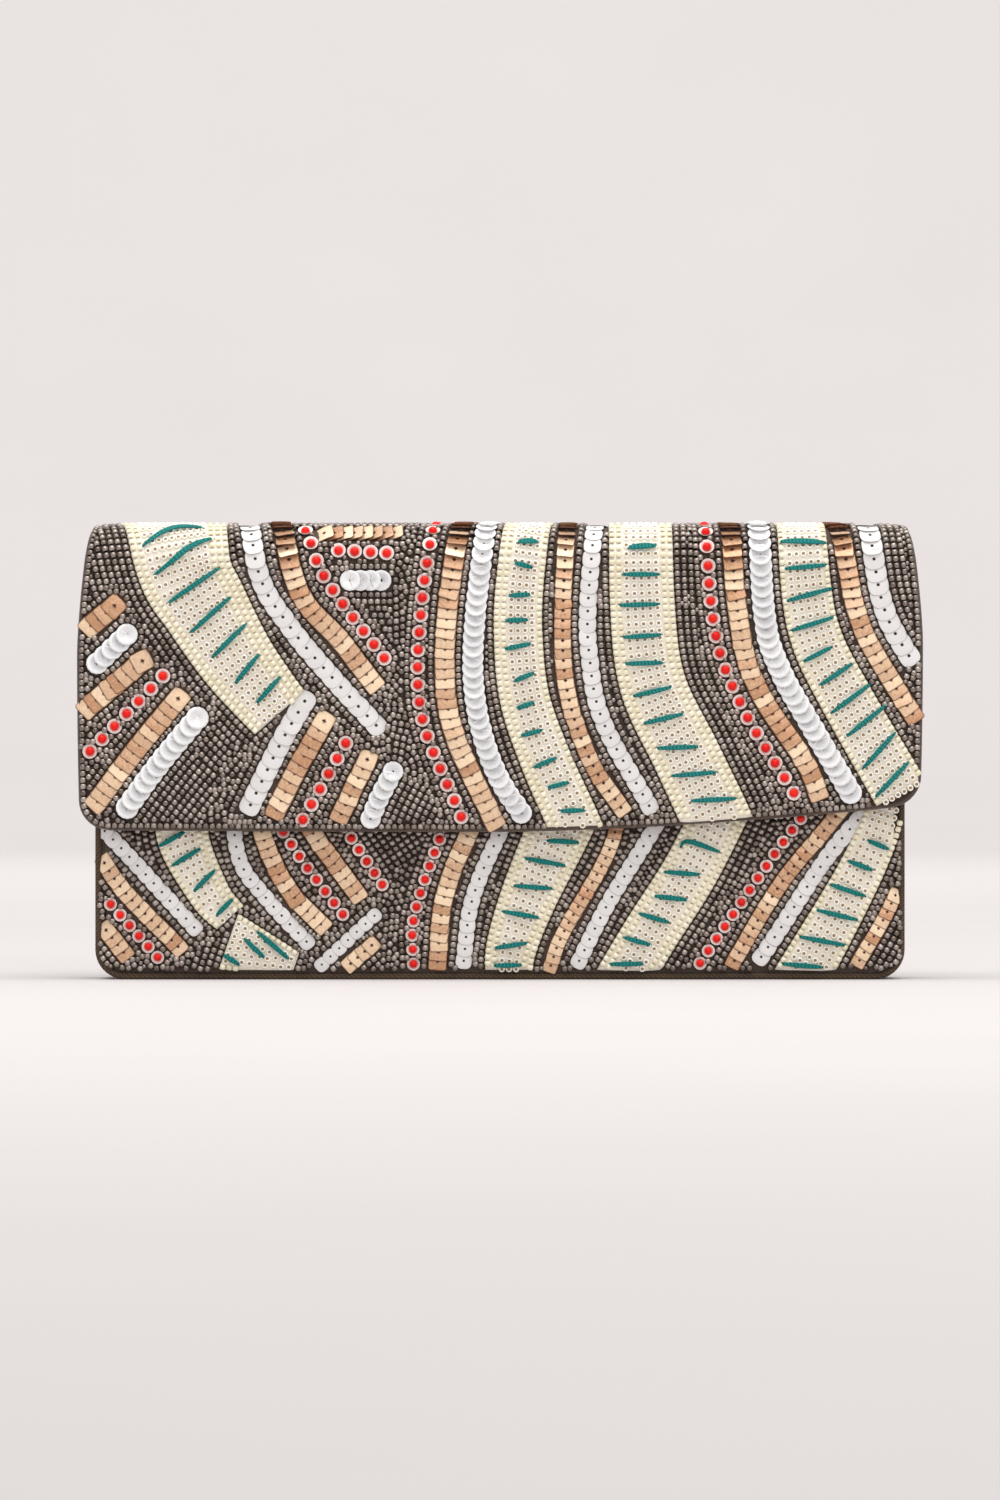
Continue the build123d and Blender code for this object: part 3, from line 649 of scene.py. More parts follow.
def inside_front(x, s):
    """How far inside the front wall's outline a place is."""
    return inside_corner(front_half - np.abs(x), s - front_bottom, back_corner)


def front_surface(x, s, lift):
    """Point at a height above the padded cloth of the front wall."""
    drawn_in = -1.0 * mm * np.exp(-np.clip(inside_front(x, s), 0, None) / (3 * mm))
    waves = 0.22 * mm * np.sin(x / (16 * mm)) * np.sin(s / (12 * mm) + 1)
    crown = 0.3 * mm * (1 - (x / front_half) ** 2)
    fade = np.clip((mouth_z - s) / (50 * mm), 0, 1)
    return np.stack([x, front_low.y - (lift + drawn_in + (waves + crown) * fade), s], -1)


def front_shape(u, v):
    """The front wall's cloth, over its padding."""
    x, _, z = wall_cut(0, 0, mouth_z)(u, v).T
    return front_surface(x, z, np.zeros(len(x)))


front_cloth = new_piece(
    "front_cloth", shaped_cloth(120, 60, front_shape, (2 * front_half, mouth_z), cloth_thickness),
    ground_cloth)
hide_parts("front_fabric")
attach(front_cloth, "body")

wall_front_y, wall_back_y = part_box("mouth_binding")[0].y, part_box("mouth_binding")[1].y


def mouth_roll(u, v):
    """A strip folded over the top edge of the front wall."""
    turn, from_middle = (u - 0.5) * pi, np.abs(u - 0.5)
    half = (wall_back_y - wall_front_y) / 2
    drop = np.clip(from_middle - 0.36, 0, None) * 50 * mm
    return np.stack([(2 * v - 1) * front_half, wall_front_y + half
                     + (half + 0.12 * mm) * np.sin(turn),
                     mouth_z + 0.55 * mm * np.cos(turn) - drop], -1)


mouth_binding = new_piece(
    "mouth_rolled_edge", shaped_cloth(20, 120, mouth_roll, (0.02, 2 * front_half), 0.25 * mm),
    ground_cloth)
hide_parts("mouth_binding")
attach(mouth_binding, "body")

# --- Gusset: a strip of the taupe cloth, lined, that runs down one side, under the base and up the
# other. Its sides fold a little inwards so that the clutch can close flat.
gusset_low, gusset_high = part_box("gusset_fabric")
outline_corner = 9 * mm


def u_run(inset, top, v):
    """Places along a U, down the left side, under the base and up the right side."""
    side, corner = gusset_high.x - inset, outline_corner - inset
    flat, tall, bend = 2 * (side - corner), top - inset - corner, corner * pi / 2
    run = v * (2 * tall + 2 * bend + flat)
    first, second = tall + bend, tall + bend + flat
    turn = np.clip((run - tall) / corner, 0, pi / 2) + np.clip((run - second) / corner, 0, pi / 2)
    early, late = np.minimum(turn, pi / 2), np.maximum(turn - pi / 2, 0)
    x = (-side + corner * (1 - np.cos(early)) + np.clip(run - first, 0, flat)
         + corner * np.sin(late))
    z = (top - np.clip(run, 0, tall) - corner * np.sin(early) + corner * (1 - np.cos(late))
         + np.clip(run - second - bend, 0, tall))
    return x, z, np.stack([-np.cos(turn), -np.sin(turn)], -1)


def gusset_shape(inset):
    """The gusset as a cut, its sides tucked inwards."""
    def shape(u, v):
        x, z, out = u_run(inset, gusset_high.z, v)
        y = gusset_high.y - 0.1 * mm - u * (gusset_high.y - gusset_low.y - 0.2 * mm)
        tuck = 2.6 * mm * np.clip((z - 12 * mm) / (50 * mm), 0, 1) * np.sin(pi * u) ** 2
        return np.stack([x - out[:, 0] * tuck, y, z], -1)
    return shape


strip = (gusset_high.y - gusset_low.y, 2 * gusset_high.z + 2 * gusset_high.x)
gusset_cloth = new_piece(
    "gusset_cloth", shaped_cloth(16, 240, gusset_shape(cloth_thickness + 0.05 * mm), strip,
                                 cloth_thickness),
    ground_cloth)
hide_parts("gusset_fabric")
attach(gusset_cloth, "body")


def gusset_lining_shape(u, v):
    """The gusset's lining, a little narrower than its cloth."""
    x, y, z = gusset_shape(2.1 * mm)(u, v).T
    middle = (gusset_low.y + gusset_high.y) / 2
    return np.stack([x, middle + (y - middle) * 0.8, z], -1)


gusset_lining = new_piece(
    "gusset_lining_cloth", shaped_cloth(12, 200, gusset_lining_shape, strip, 0.25 * mm),
    lining_cloth)
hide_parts("gusset_lining")
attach(gusset_lining, "body")

# --- Piping: a thin cord wrapped in bias-cut dark cloth, sewn into the seams where the gusset
# meets the front and the back wall. It shows as a dark line along the base.
piping_cloth, tree, shader = new_material(
    "dark bias piping", Sheen_Weight=0.15, Sheen_Roughness=0.4, Specular_IOR_Level=0.3)
slant = add_node(tree, "Mapping", Vector=coordinates(tree, "UV"), Rotation=(0, 0, radians(45)))
woven = add_node(tree, "Group", {"node_tree": weave}, Thread=colour("6a543f"),
                 Shadow=colour("20170f"), Count=420.0, Slub=0.5).outputs
# The twill's diagonal grooves are painted darker on top of the weave: painted shade.
twill = add_node(tree, "TexWave", {"bands_direction": "X"}, Vector=slant.outputs[0], Scale=300.0,
                 Distortion=0.5).outputs
twill_shaded_colour = mixed(tree, 0.5, woven["Color"], twill["Color"], blend="MULTIPLY")
finish_surface(tree, shader, twill["Fac"], 0.12 * mm, Base_Color=twill_shaded_colour,
               Roughness=woven["Roughness"])
for wall in ("front", "back"):
    low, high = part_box(f"{wall}_piping")
    thick, middle_y = (high.y - low.y) / 2, (low.y + high.y) / 2

    def piping_shape(u, v):
        x, z, out = u_run(thick, high.z, v)
        push = thick * np.cos(u * 2 * pi)
        return np.stack([x + push * out[:, 0], middle_y + thick * np.sin(u * 2 * pi),
                         z + push * out[:, 1]], -1)

    piping_bm = shaped_cloth(12, 420, piping_shape, (2 * pi * thick, 0.47))
    bmesh.ops.holes_fill(piping_bm, edges=piping_bm.edges, sides=16)
    bmesh.ops.recalc_face_normals(piping_bm, faces=piping_bm.faces)
    piping = new_piece(f"{wall}_corded_piping", piping_bm, piping_cloth)
    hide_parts(f"{wall}_piping")
    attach(piping, "body")

# --- Slip pocket: a patch of lining cloth with a folded hem, sewn to the back lining.
pocket_low, pocket_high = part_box("slip_pocket")


def pocket_shape(u, v):
    """The patch, gaping slightly at its open top edge."""
    x = pocket_low.x + (pocket_high.x - pocket_low.x) * u
    z = pocket_low.z + (pocket_high.z - pocket_low.z) * v
    gape = 0.5 * mm * v**3 * np.sin(pi * u) + 0.25 * mm * (v > 0.9)
    return np.stack([x, pocket_high.y - 0.35 * mm - gape, z], -1)


pocket_size = (pocket_high.x - pocket_low.x, pocket_high.z - pocket_low.z)
slip_pocket = new_piece(
    "slip_pocket_cloth", shaped_cloth(40, 40, pocket_shape, pocket_size, 0.3 * mm),
    lining_cloth)
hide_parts("slip_pocket")
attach(slip_pocket, "body")

# --- Magnetic snap: pressed steel parts plated in nickel, with a dark ferrite magnet in the lower
# half. Their prongs are bent over washers behind the cloth.
nickel, tree, shader = new_material("nickel plate", Metallic=1.0)
place = coordinates(tree)
brushed = add_node(tree, "Mapping", Vector=place, Scale=(40, 40, 1400)).outputs[0]
smudge = noise(tree, place, 180.0, 3.0)
finish_surface(tree, shader, noise(tree, brushed, 1.0, 4.0), 0.03 * mm,
               Base_Color=mixed(tree, smudge, "b9b2a6", "dcd8d0"),
               Roughness=ranged(tree, smudge, 0.2, 0.4))
finish_nodes(nickel, "snap_socket_case", "snap_socket_base", "snap_socket_washer", "snap_stud",
             "snap_stud_washer")
ferrite, tree, shader = new_material("ferrite magnet", Metallic=0.3)
pores = noise(tree, coordinates(tree), 1200.0, 5.0)
finish_surface(tree, shader, pores, 0.08 * mm, Base_Color=mixed(tree, pores, "1c1b1b", "44413f"),
               Roughness=ranged(tree, pores, 0.45, 0.75))
finish_nodes(ferrite, "snap_magnet")

# --- Cream seed beads: broad bands of opaque glass beads, in columns along the edges of each band
# and in rows across its middle. Sewing sizes from here on are in millimetres.
mark_step = line_step = 0.25
marks_left, marks_low = -135.0, -5.0
marks_size = np.array((1080, 760))
bead_pitch, row_pitch, column_pitch, bead_radius = 1.95, 2.3, 2.05, 0.98
steep_from, steep_over = 110, 26


def new_panel(surface, inside):
    """A panel to embroider, with marks of which cloth already carries beads."""
    return {"surface": surface, "inside": inside, "bands": [], "tapes": [], "sewn": {},
            "taken": np.zeros(marks_size, bool)}


bead_end = back_start / mm + 6.3
flap = new_panel(wrap_surface, lambda x, s: np.minimum(
    inside_flap(x * mm, s * mm) / mm - 0.3, bead_end - s))
front = new_panel(front_surface, lambda x, s: np.minimum(
    inside_front(x * 0.985 * mm, s * mm) / mm - 0.3, front_bead_top / mm - s))


def near_marks(reach):
    """The marks within a reach of one mark."""
    across = np.arange(-int(reach / mark_step), int(reach / mark_step) + 1)
    x, y = np.meshgrid(across, across, indexing="ij")
    near = x**2 + y**2 <= (reach / mark_step) ** 2
    return x[near], y[near]


def marks_at(points):
    """The marks under points on the cloth."""
    marks = ((points - (marks_left, marks_low)) / mark_step).astype(int)
    return tuple(np.clip(marks, 0, marks_size - 1).T)


def sew(panel, kind, spots, ways, radius=0.0, clear=0.0, size=1.0):
    """Sew one kind of bead at each spot that is on the cloth. With clear given, a bead is left out
    where another lies within it."""
    if not len(spots):
        return
    across, up = marks_at(spots)
    on_cloth = panel["inside"](*spots.T) > bead_radius * 0.9
    over, clash = near_marks(radius), near_marks(clear)
    rows = panel["sewn"].setdefault(kind, [])
    for index in np.flatnonzero(on_cloth):
        x, y = across[index], up[index]
        if clear and panel["taken"][x + clash[0], y + clash[1]].any():
            continue
        if radius:
            panel["taken"][x + over[0], y + over[1]] = True
        rows.append((*spots[index], ways[index], size))


def smooth_line(points):
    """A smooth line through a band's points, in short even steps."""
    points = np.array(points, float)
    if len(points) > 2:
        ends = np.vstack([2 * points[0] - points[1], points, 2 * points[-1] - points[-2]])
        t = np.linspace(0, 1, 24, endpoint=False)[:, None]
        points = np.vstack([
            0.5 * (2 * b + (c - a) * t + (2 * a - 5 * b + 4 * c - d) * t**2
                   + (3 * b - a - 3 * c + d) * t**3)
            for a, b, c, d in zip(ends, ends[1:], ends[2:], ends[3:])] + [points[-1:]])
    return along_line(points, line_step)[0]


def over_the_top(points):
    """Turn heights seen from the front into places along the cloth, and carry a band that reaches
    the top on over the spine to just behind the back fold."""
    fold, radius, bulge, steepest = fold_z / mm, fold_radius / mm, 12.2, 0.05
    points = [(x, z if z < fold else fold + radius * asin(min(1, (z - fold) / bulge)))
              for x, z in points]
    (x0, s0), (x1, s1) = points[:2]
    if s0 > spine_start / mm - 2:
        lean = max(-steepest, min(steepest, 0.5 * (x0 - x1) / (s0 - s1)))
        points = [(x0 + lean * (bead_end - s0), bead_end), (x0 + lean * 12, s0 + 12)] + points[1:]
    return points


def laid_on(panel, points):
    """The middle line of a band on a panel."""
    return smooth_line(over_the_top(points) if panel is flap else points)


def mark_band(panel, line, half, rounded_ends):
    """Keep a band's place on the cloth."""
    panel["bands"].append((line, half, rounded_ends))
    for share in np.linspace(-1, 1, int(np.max(half) * 10)):
        panel["taken"][marks_at(beside(line, half * share))] = True


def lay_cream(panel, points, first_width, last_width, left_columns, right_columns):
    """Fill a broad band with columns of beads at its edges and rows between them."""
    line = laid_on(panel, points)
    half = np.linspace(first_width, last_width, len(line)) / 2
    mark_band(panel, line, half, False)
    for side, columns in ((-1, left_columns), (1, right_columns)):
        for column in range(columns):
            spots, ways = along_line(
                beside(line, side * (half - bead_radius - column * column_pitch)), bead_pitch, 0.9)
            sew(panel, "cream border", spots, ways)
    panel["tapes"].append((line, half - 0.2))
    centres, ways = along_line(line, row_pitch, 1.2)
    widths = np.interp(np.arange(len(centres)) * row_pitch / line_step, np.arange(len(line)), half)
    for centre, way, wide in zip(centres, ways, widths):
        low = -wide + left_columns * column_pitch + 0.1
        high = wide - right_columns * column_pitch - 0.1
        count = max(1, int((high - low) / bead_pitch))
        places = low + (np.arange(count) + 0.5) * (high - low) / count
        spots = centre + np.outer(places, (-sin(way), cos(way)))
        sew(panel, "cream rings", spots, np.full(count, way + pi / 2))


def turned(profile, steps, axis):
    """A small closed shape turned from a profile of (radius, height) points about an axis."""
    bm = bmesh.new()
    points = [bm.verts.new((r, h, 0) if axis == "Y" else (r, 0, h)) for r, h in profile]
    ring = points + [points[0]] if profile[0][0] > 0 else points
    edges = [bm.edges.new(pair) for pair in zip(ring, ring[1:])]
    bmesh.ops.spin(bm, geom=points + edges, cent=(0, 0, 0), angle=2 * pi, steps=steps,
                   axis=(0, 1, 0) if axis == "Y" else (0, 0, 1), use_merge=True)
    bmesh.ops.remove_doubles(bm, verts=bm.verts, dist=0.0005)
    bmesh.ops.recalc_face_normals(bm, faces=bm.faces)
    return bm


def sewn_copies(name, bm, rim, rows, panel, lift, material, tilt=0.0, jitter=3.0, seed=1,
                steep=0.0):
    """Every bead of one kind on a panel as one piece. Each copy keeps its stiff shape, lies on the
    cloth with its own small turn, and has its own tone. rim says how near its edge a point is, which
    is where the edge colour goes: painted shade at holes and gaps, a painted highlight on cup lips;
    steep says how many degrees more a bead leans where the cloth nears the top fold."""
    bm.verts.index_update()
    shape = np.array([v.co for v in bm.verts])
    faces = [[v.index for v in f.verts] for f in bm.faces]
    edge = np.array([float(rim(*corner)) for corner in shape])
    bm.free()
    dice = np.random.default_rng(seed)
    x, s, way, size = np.array(rows).T
    count = len(x)
    tone = dice.random(count)
    turn = way - pi / 2 + np.radians(dice.normal(0, jitter, count))
    tilt = tilt + steep * np.clip((s - steep_from) / steep_over, 0, 1)
    lean = np.radians(tilt * (1 + dice.uniform(-0.2, 0.2, count)) + dice.normal(0, 1.2, count))
    roll = np.radians(dice.normal(0, 1.5, count))

    def cloth_at(dx, ds, up=0.0):
        return panel["surface"]((x + dx) * mm, (s + ds) * mm, np.full(count, up * mm))

    across = cloth_at(0.4, 0) - cloth_at(-0.4, 0)
    along = cloth_at(0, 0.4) - cloth_at(0, -0.4)
    across /= np.linalg.norm(across, axis=1)[:, None]
    out = np.cross(across, along)
    out /= np.linalg.norm(out, axis=1)[:, None]
    along = np.cross(out, across)

    def turned_by(angle, first, second):
        c, d = np.cos(angle)[:, None], np.sin(angle)[:, None]
        return first * c + second * d, second * c - first * d

    right, ahead = turned_by(turn, across, along)
    ahead, out = turned_by(lean, ahead, out)
    right, out = turned_by(roll, right, out)
    points = cloth_at(0, 0, lift)[:, None] + mm * (
        right[:, None] * (shape[None, :, 0:1] * size[:, None, None])
        + ahead[:, None] * (shape[None, :, 1:2] * size[:, None, None])
        + out[:, None] * shape[None, :, 2:3])
    corners = np.concatenate(faces)
    loops = (corners[None] + np.arange(count)[:, None] * len(shape)).ravel()
    sides = np.tile([len(f) for f in faces], count)
    mesh = bpy.data.meshes.new(name)
    mesh.vertices.add(count * len(shape))
    mesh.vertices.foreach_set("co", points.astype(np.float32).ravel())
    mesh.loops.add(len(loops))
    mesh.loops.foreach_set("vertex_index", loops.astype(np.int32))
    mesh.polygons.add(len(sides))
    mesh.polygons.foreach_set(
        "loop_start", np.concatenate([[0], np.cumsum(sides)[:-1]]).astype(np.int32))
    mesh.update(calc_edges=True)
    mesh.validate()
    for kind, values in (("tone", np.repeat(tone, len(shape))), ("rim", np.tile(edge, count))):
        mesh.attributes.new(kind, "FLOAT", "POINT").data.foreach_set(
            "value", values.astype(np.float32))
    return place_mesh(name, mesh, material)


# The edge colour is laid where a bead's rim mark is set: painted shade in bead holes, in the gaps at
# the foil squares' edges and under the red stones, and a painted highlight on the white cups' lips.
glaze, given = new_group("bead glaze", ("Dark", "Light", "Edge"), ("Smooth", "Rough", "Mottle"))
tone, rim = (add_node(glaze, "Attribute", {"attribute_name": name}).outputs["Fac"]
             for name in ("tone", "rim"))
blotch = noise(glaze, coordinates(glaze), given["Mottle"], 4.0)
share = worked_out(glaze, "MULTIPLY_ADD", blotch, 0.9, -0.45)
shade = worked_out(glaze, "ADD", tone, share, clamp=True)
body = mixed(glaze, shade, given["Dark"], given["Light"])
finish_group(glaze, Color=mixed(glaze, rim, body, given["Edge"]), Height=blotch,
             Roughness=ranged(glaze, shade, given["Smooth"], given["Rough"]))


def glazed(name, dark, light, edge, smooth, rough, mottle, **sockets):
    """Glass, plastic or foil beads: two tones of a colour from bead to bead, and an edge colour
    that is painted light: shade at holes and gaps, a highlight on cup lips.
    """
    material, tree, shader = new_material(name, **sockets)
    group_surface(tree, shader, glaze, 0.04 * mm, Dark=colour(dark), Light=colour(light),
                  Edge=colour(edge), Smooth=smooth, Rough=rough, Mottle=mottle)
    return material


def place_on_panels(kind, shape, rim, lift, material, nodes, tilt=0.0, jitter=3.0,
                    steep=0.0):
    """One kind of bead on the flap, over the back fold and on the front wall."""
    rows = np.array(flap["sewn"][kind])
    before = rows[:, 1] < spine_middle / mm
    parts = [("flap", rows[before], flap), ("back_fold", rows[~before], flap),
             ("front", np.array(front["sewn"].get(kind, [])), front)]
    for seed, (part, rows, panel) in enumerate(parts):
        if not len(rows):
            continue
        beads = sewn_copies(f"{part}_sewn_{kind.replace(' ', '_')}", shape(), rim, rows, panel,
                            lift, material, tilt, jitter, seed + len(kind), steep)
        hang(beads, part)
        if nodes.get(part):
            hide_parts(*nodes[part])


flap_cream = [
    ([(-98.5, 138), (-95, 125), (-88.5, 112), (-79.5, 97), (-71, 86), (-65.8, 80)], 37, 20, 2, 3),
    ([(9.6, 138), (6, 120), (5.5, 102), (7.5, 84), (14, 65.4), (22, 47.5), (24.6, 41)], 13.5, 16, 2, 1),
    ([(42.2, 138), (42.6, 114), (45.7, 89), (55.8, 67.4), (64.3, 49.5), (68, 41)], 18.5, 21, 2, 2),
    ([(90, 138), (91.5, 120), (95, 102), (104, 84), (118.5, 59), (122.5, 52)], 13.8, 17, 1, 1),
]
front_cream = [
    ([(-91, 57), (-95.5, 44), (-87.5, 26), (-81, 18.5)], 18.5, 11, 1, 2),
    ([(-81.6, 11.5), (-61.5, 4.5)], 18, 8, 1, 1),
    ([(22, 56), (16.8, 43.2), (8.3, 24), (3.2, 8.5), (2.8, -3)], 21, 14, 2, 2),
    ([(70, 58), (57.6, 33.3), (45.4, 14), (35.2, -3)], 17, 17, 2, 2),
    ([(117, 55), (113.6, 44), (105.5, 27), (88.6, -3)], 12, 17, 1, 1),
]
for panel, bands in ((flap, flap_cream), (front, front_cream)):
    for band in bands:
        lay_cream(panel, *band)
cream_glass, white_glass = (
    glazed(name, *colours, 0.2, 0.4, 500.0, Coat_Weight=0.2, Coat_Roughness=0.12)
    for name, *colours in (("cream glass beads", "e9dfbf", "f8f1d9", "8f7650"),
                           ("ivory glass beads", "f6f1e4", "fffdf8", "a3865c")))
barrel = [(0.3, -0.86), (0.84, -0.74), (1.02, 0), (0.84, 0.74), (0.3, 0.86)]
ring = [(0, 0.72), (0.46, 0.7), (0.56, 1.0), (0.8, 1.12), (1.02, 0.7), (0.9, 0.2), (0, 0.2)]


def barrel_hole_shade(x, y, z):
    """The hole through a barrel bead, whose edge colour is painted shade in the hole."""
    return x * x + z * z < 0.2


place_on_panels("cream border", lambda: turned(barrel, 8, "Y"), barrel_hole_shade, 0.72, cream_glass,
                {})
# The top edge of each ring's hole takes a tan edge colour, as the shade in the hole.
place_on_panels("cream rings", lambda: turned(ring, 8, "Z"),
                lambda x, y, z: 0.6 < z < 0.8 and x * x + y * y < 0.3, 0.55, white_glass,
                {"flap": ["flap_cream_beads"], "front": ["front_cream_beads"]})
tape_cotton = cloth_material("cream cotton tape", "fffaf0", "eee4cb", 700.0, 0.5, 0.1 * mm, 0.1)
tape_turn_in = 0.04


def tape_shape(panel, line, half):
    """A narrow cotton tape under a band of beads, drawn in where it would pass the cloth's edge."""
    steps = np.arange(len(line))
    edges = beside(line, -half), beside(line, half)

    def shape(u, v):
        low, high = spots_at(v * steps[-1], steps, *edges)
        x, s = (low + (high - low) * u[:, None]).T
        if panel is front:
            lowest, highest, widest = 2.9, front_bead_top / mm - 0.6, front_half / mm - 1.3
        else:
            lowest, highest = flap_edge_s(x * mm) / mm + 0.9, bead_end
            widest = half_width(s * mm) / mm - 1.2
        s = np.where(s < lowest, lowest + (s - lowest) * tape_turn_in, s)
        s = np.where(s > highest, highest + (s - highest) * tape_turn_in, s)
        edge = np.sign(x) * widest
        x = np.where(np.abs(x) > widest, edge + (x - edge) * tape_turn_in, x)
        return panel["surface"](x * mm, s * mm, np.full(len(u), 0.8 * mm))
    return shape


def gathered(parts):
    """Several closed shapes as one bmesh."""
    whole = bmesh.new()
    for part in parts:
        held = bpy.data.meshes.new("held")
        part.to_mesh(held)
        part.free()
        whole.from_mesh(held)
        bpy.data.meshes.remove(held)
    return whole


for panel, part in ((flap, "flap"), (flap, "back_fold"), (front, "front")):
    tapes, area = [], 0.0
    for line, half in panel["tapes"]:
        on_part = np.maximum(panel["inside"](*beside(line, half).T),
                             panel["inside"](*beside(line, -half).T)) > 0.6
        if part != "front":
            on_part &= (line[:, 1] < spine_middle / mm) == (part == "flap")
        if on_part.sum() < 8:
            continue
        cut, wide = line[on_part], half[on_part]
        size = (wide.mean() * 2 * mm, len(cut) * line_step * mm)
        area += size[0] * size[1]
        tapes.append(shaped_cloth(10, max(4, len(cut) // 6), tape_shape(panel, cut, wide), size,
                                  0.1 * mm))
    tape = new_piece(f"{part}_bead_tapes", gathered(tapes), tape_cotton)
    hang(tape, part)

# --- White cup sequins: round, dished and glossy, sewn in single strips like roof tiles, so that
# the lower rim of each lies over the next.


def lay_strips(panel, kind, bands, pitch):
    """Narrow strips of overlapping sequins, run downwards."""
    for points, width in bands:
        line = laid_on(panel, points)
        if line[0, 1] < line[-1, 1] - 1:
            line = line[::-1]
        mark_band(panel, line, np.full(len(line), width / 2), True)
        spots, ways = along_line(line, pitch, 0.2)
        sew(panel, kind, spots, ways, radius=width / 2, size=width)


flap_white = [
    ([(-45, 119.8), (-33.3, 119.8)], 6.3),
    ([(-2.5, 138), (-7.4, 109.3), (-7.4, 84), (-1.5, 63), (7.5, 48.5)], 6.5),
    ([(77.3, 138), (79.1, 110.7), (83.5, 94), (94, 75), (106.4, 54)], 6.9),
    ([(-122.5, 93.2), (-111.6, 103.8)], 6.6),
    ([(-113.4, 49.5), (-102, 65), (-90.6, 78.7)], 6.9),
    ([(-32, 62.6), (-36, 55), (-39, 48)], 6.2),
]
lay_strips(flap, "white cups", flap_white, 3.1)
# Each white cup's lip is painted pure white as a highlight, and the rest of the cup a light grey,
# painted shade over the white film.
white_foil = glazed("white sequin film", "dcdcde", "f4f4f4", "ffffff", 0.15, 0.3, 500.0,
                    Coat_Weight=0.35, Coat_Roughness=0.1)
cup = [(0.06, 0.0), (0.36, 0.12), (0.5, 0.75), (0.5, 0.92), (0.34, 0.3), (0.06, 0.16)]
place_on_panels("white cups", lambda: turned(cup, 14, "Z"), lambda x, y, z: x * x + y * y > 0.2,
                0.55, white_foil, {"flap": ["flap_white_sequins"]}, tilt=10)

# --- Pearl discs: flat round sequins with a soft pearly face and a tiny sewing hole, overlapped.
flap_pearl = [
    ([(-76, 138), (-72.5, 122.7), (-63, 106), (-49.4, 89.7), (-36, 75.2)], 6.3),
    ([(29.3, 138), (26.5, 115), (26.8, 97), (30.8, 77.7), (45.2, 51.4)], 5.6),
    ([(109.7, 138), (112.2, 125.4), (116, 109), (124, 94.8)], 6.6),
    ([(-58.4, 83.8), (-66, 70.5), (-76.2, 49.6)], 6.6),
]
front_pearl = [
    ([(-124, 50), (-111.8, 37.3), (-90.6, 14.2)], 5.1),
    ([(-81, 58), (-78.5, 36.6), (-70.4, 24.6), (-57.8, 11)], 5),
    ([(-37.6, 19.3), (-43.2, 14.2), (-54.1, 4)], 4.4),
    ([(7, 56), (-0.8, 42.4), (-8.5, 23.4), (-11.1, 4)], 5.1),
    ([(52, 56), (45.7, 44.3), (32.4, 22.7), (23, 4)], 5.1),
    ([(115, 56), (99.2, 37.9), (83.1, 13.5), (76.6, 4)], 5.3),
]
lay_strips(flap, "pearl discs", flap_pearl, 3.9)
lay_strips(front, "pearl discs", front_pearl, 3.6)
pearl_film = glazed("pearl sequin film", "dedcda", "e6e4e2", "8f8a84", 0.35, 0.5, 300.0,
                    Sheen_Weight=0.1, Coat_Weight=0.1, Coat_Roughness=0.3)
disc = [(0.06, 0.0), (0.48, 0.0), (0.5, 0.03), (0.47, 0.07), (0.1, 0.09), (0.06, 0.09)]


def pearl_disc():
    """A round disc, pressed a little square, so that a strip of them has straight sides."""
    bm = turned(disc, 20, "Z")
    for vert in bm.verts:
        turn = atan2(vert.co.y, vert.co.x)
        vert.co.xy *= (abs(cos(turn)) ** 3 + abs(sin(turn)) ** 3) ** (-1 / 3) * 0.97
    return bm


# The edge of each disc's sewing hole is painted a darker grey, as the shade in the hole.
place_on_panels("pearl discs", pearl_disc, lambda x, y, z: x * x + y * y < 0.006, 0.55, pearl_film,
                {"flap": ["flap_pearl_sequins"], "front": ["front_pearl_sequins"]},
                tilt=2.5)

# --- Rose sequins: rounded squares of satin rose-gold foil with a sewing hole, overlapped closely
# so that each shows as a bar with a dark edge, painted on as the shade under the overlap.
flap_rose = [
    ([(-67, 138), (-61, 118.5), (-48, 102), (-36.6, 87.2)], 6.3),
    ([(-53, 135), (-29.5, 135)], 6),
    ([(-9.9, 138), (-15.9, 109), (-14.8, 77.7), (-2, 48)], 6.4),
    ([(20.7, 138), (18.8, 109.3), (20.2, 86.3), (27.2, 65.7), (37.4, 50)], 5.4),
    ([(68.7, 138), (71, 112), (76.7, 88.6), (91.4, 65.4), (96, 53.8)], 6.2),
    ([(99.3, 138), (103.4, 128), (108, 107), (117, 90.3), (124.4, 78.6)], 6.1),
    ([(-122.8, 106.2), (-115.3, 112.4)], 6.6),
    ([(-124.4, 81), (-107, 95.8)], 6.6),
    ([(-120.7, 53.4), (-109.4, 68.7), (-96.3, 84.6)], 6.6),
    ([(-52.6, 77.8), (-59.9, 65), (-67, 51)], 6.4),
    ([(-39.7, 66.3), (-48.3, 48.4)], 6.1),
]
front_rose = [
    ([(-122, 40), (-113.3, 26.9), (-96.6, 9.7)], 5.4),
    ([(-118.6, 15), (-112.4, 7.2)], 5.6),
    ([(-73, 56), (-71, 42.4), (-63.5, 26.9), (-53.4, 16.2)], 5.8),
    ([(-62, 54), (-54.7, 41.8), (-42.8, 25.5)], 5.8),
    ([(-38.4, 10.4), (-45.6, 4.2)], 5),
    ([(-3.5, 56), (-9.9, 42.9), (-16.8, 24.6), (-18.9, 4)], 5.8),
    ([(36, 50), (32, 37), (19, 14), (15.2, 4)], 4.6),
    ([(108, 58), (97.8, 45.2), (84, 28.2), (69.5, 4)], 5),
    ([(119, 25.5), (114.3, 16.3), (107, 4)], 4.6),
]
lay_strips(flap, "rose squares", flap_rose, 3.0)
lay_strips(front, "rose squares", front_rose, 2.8)


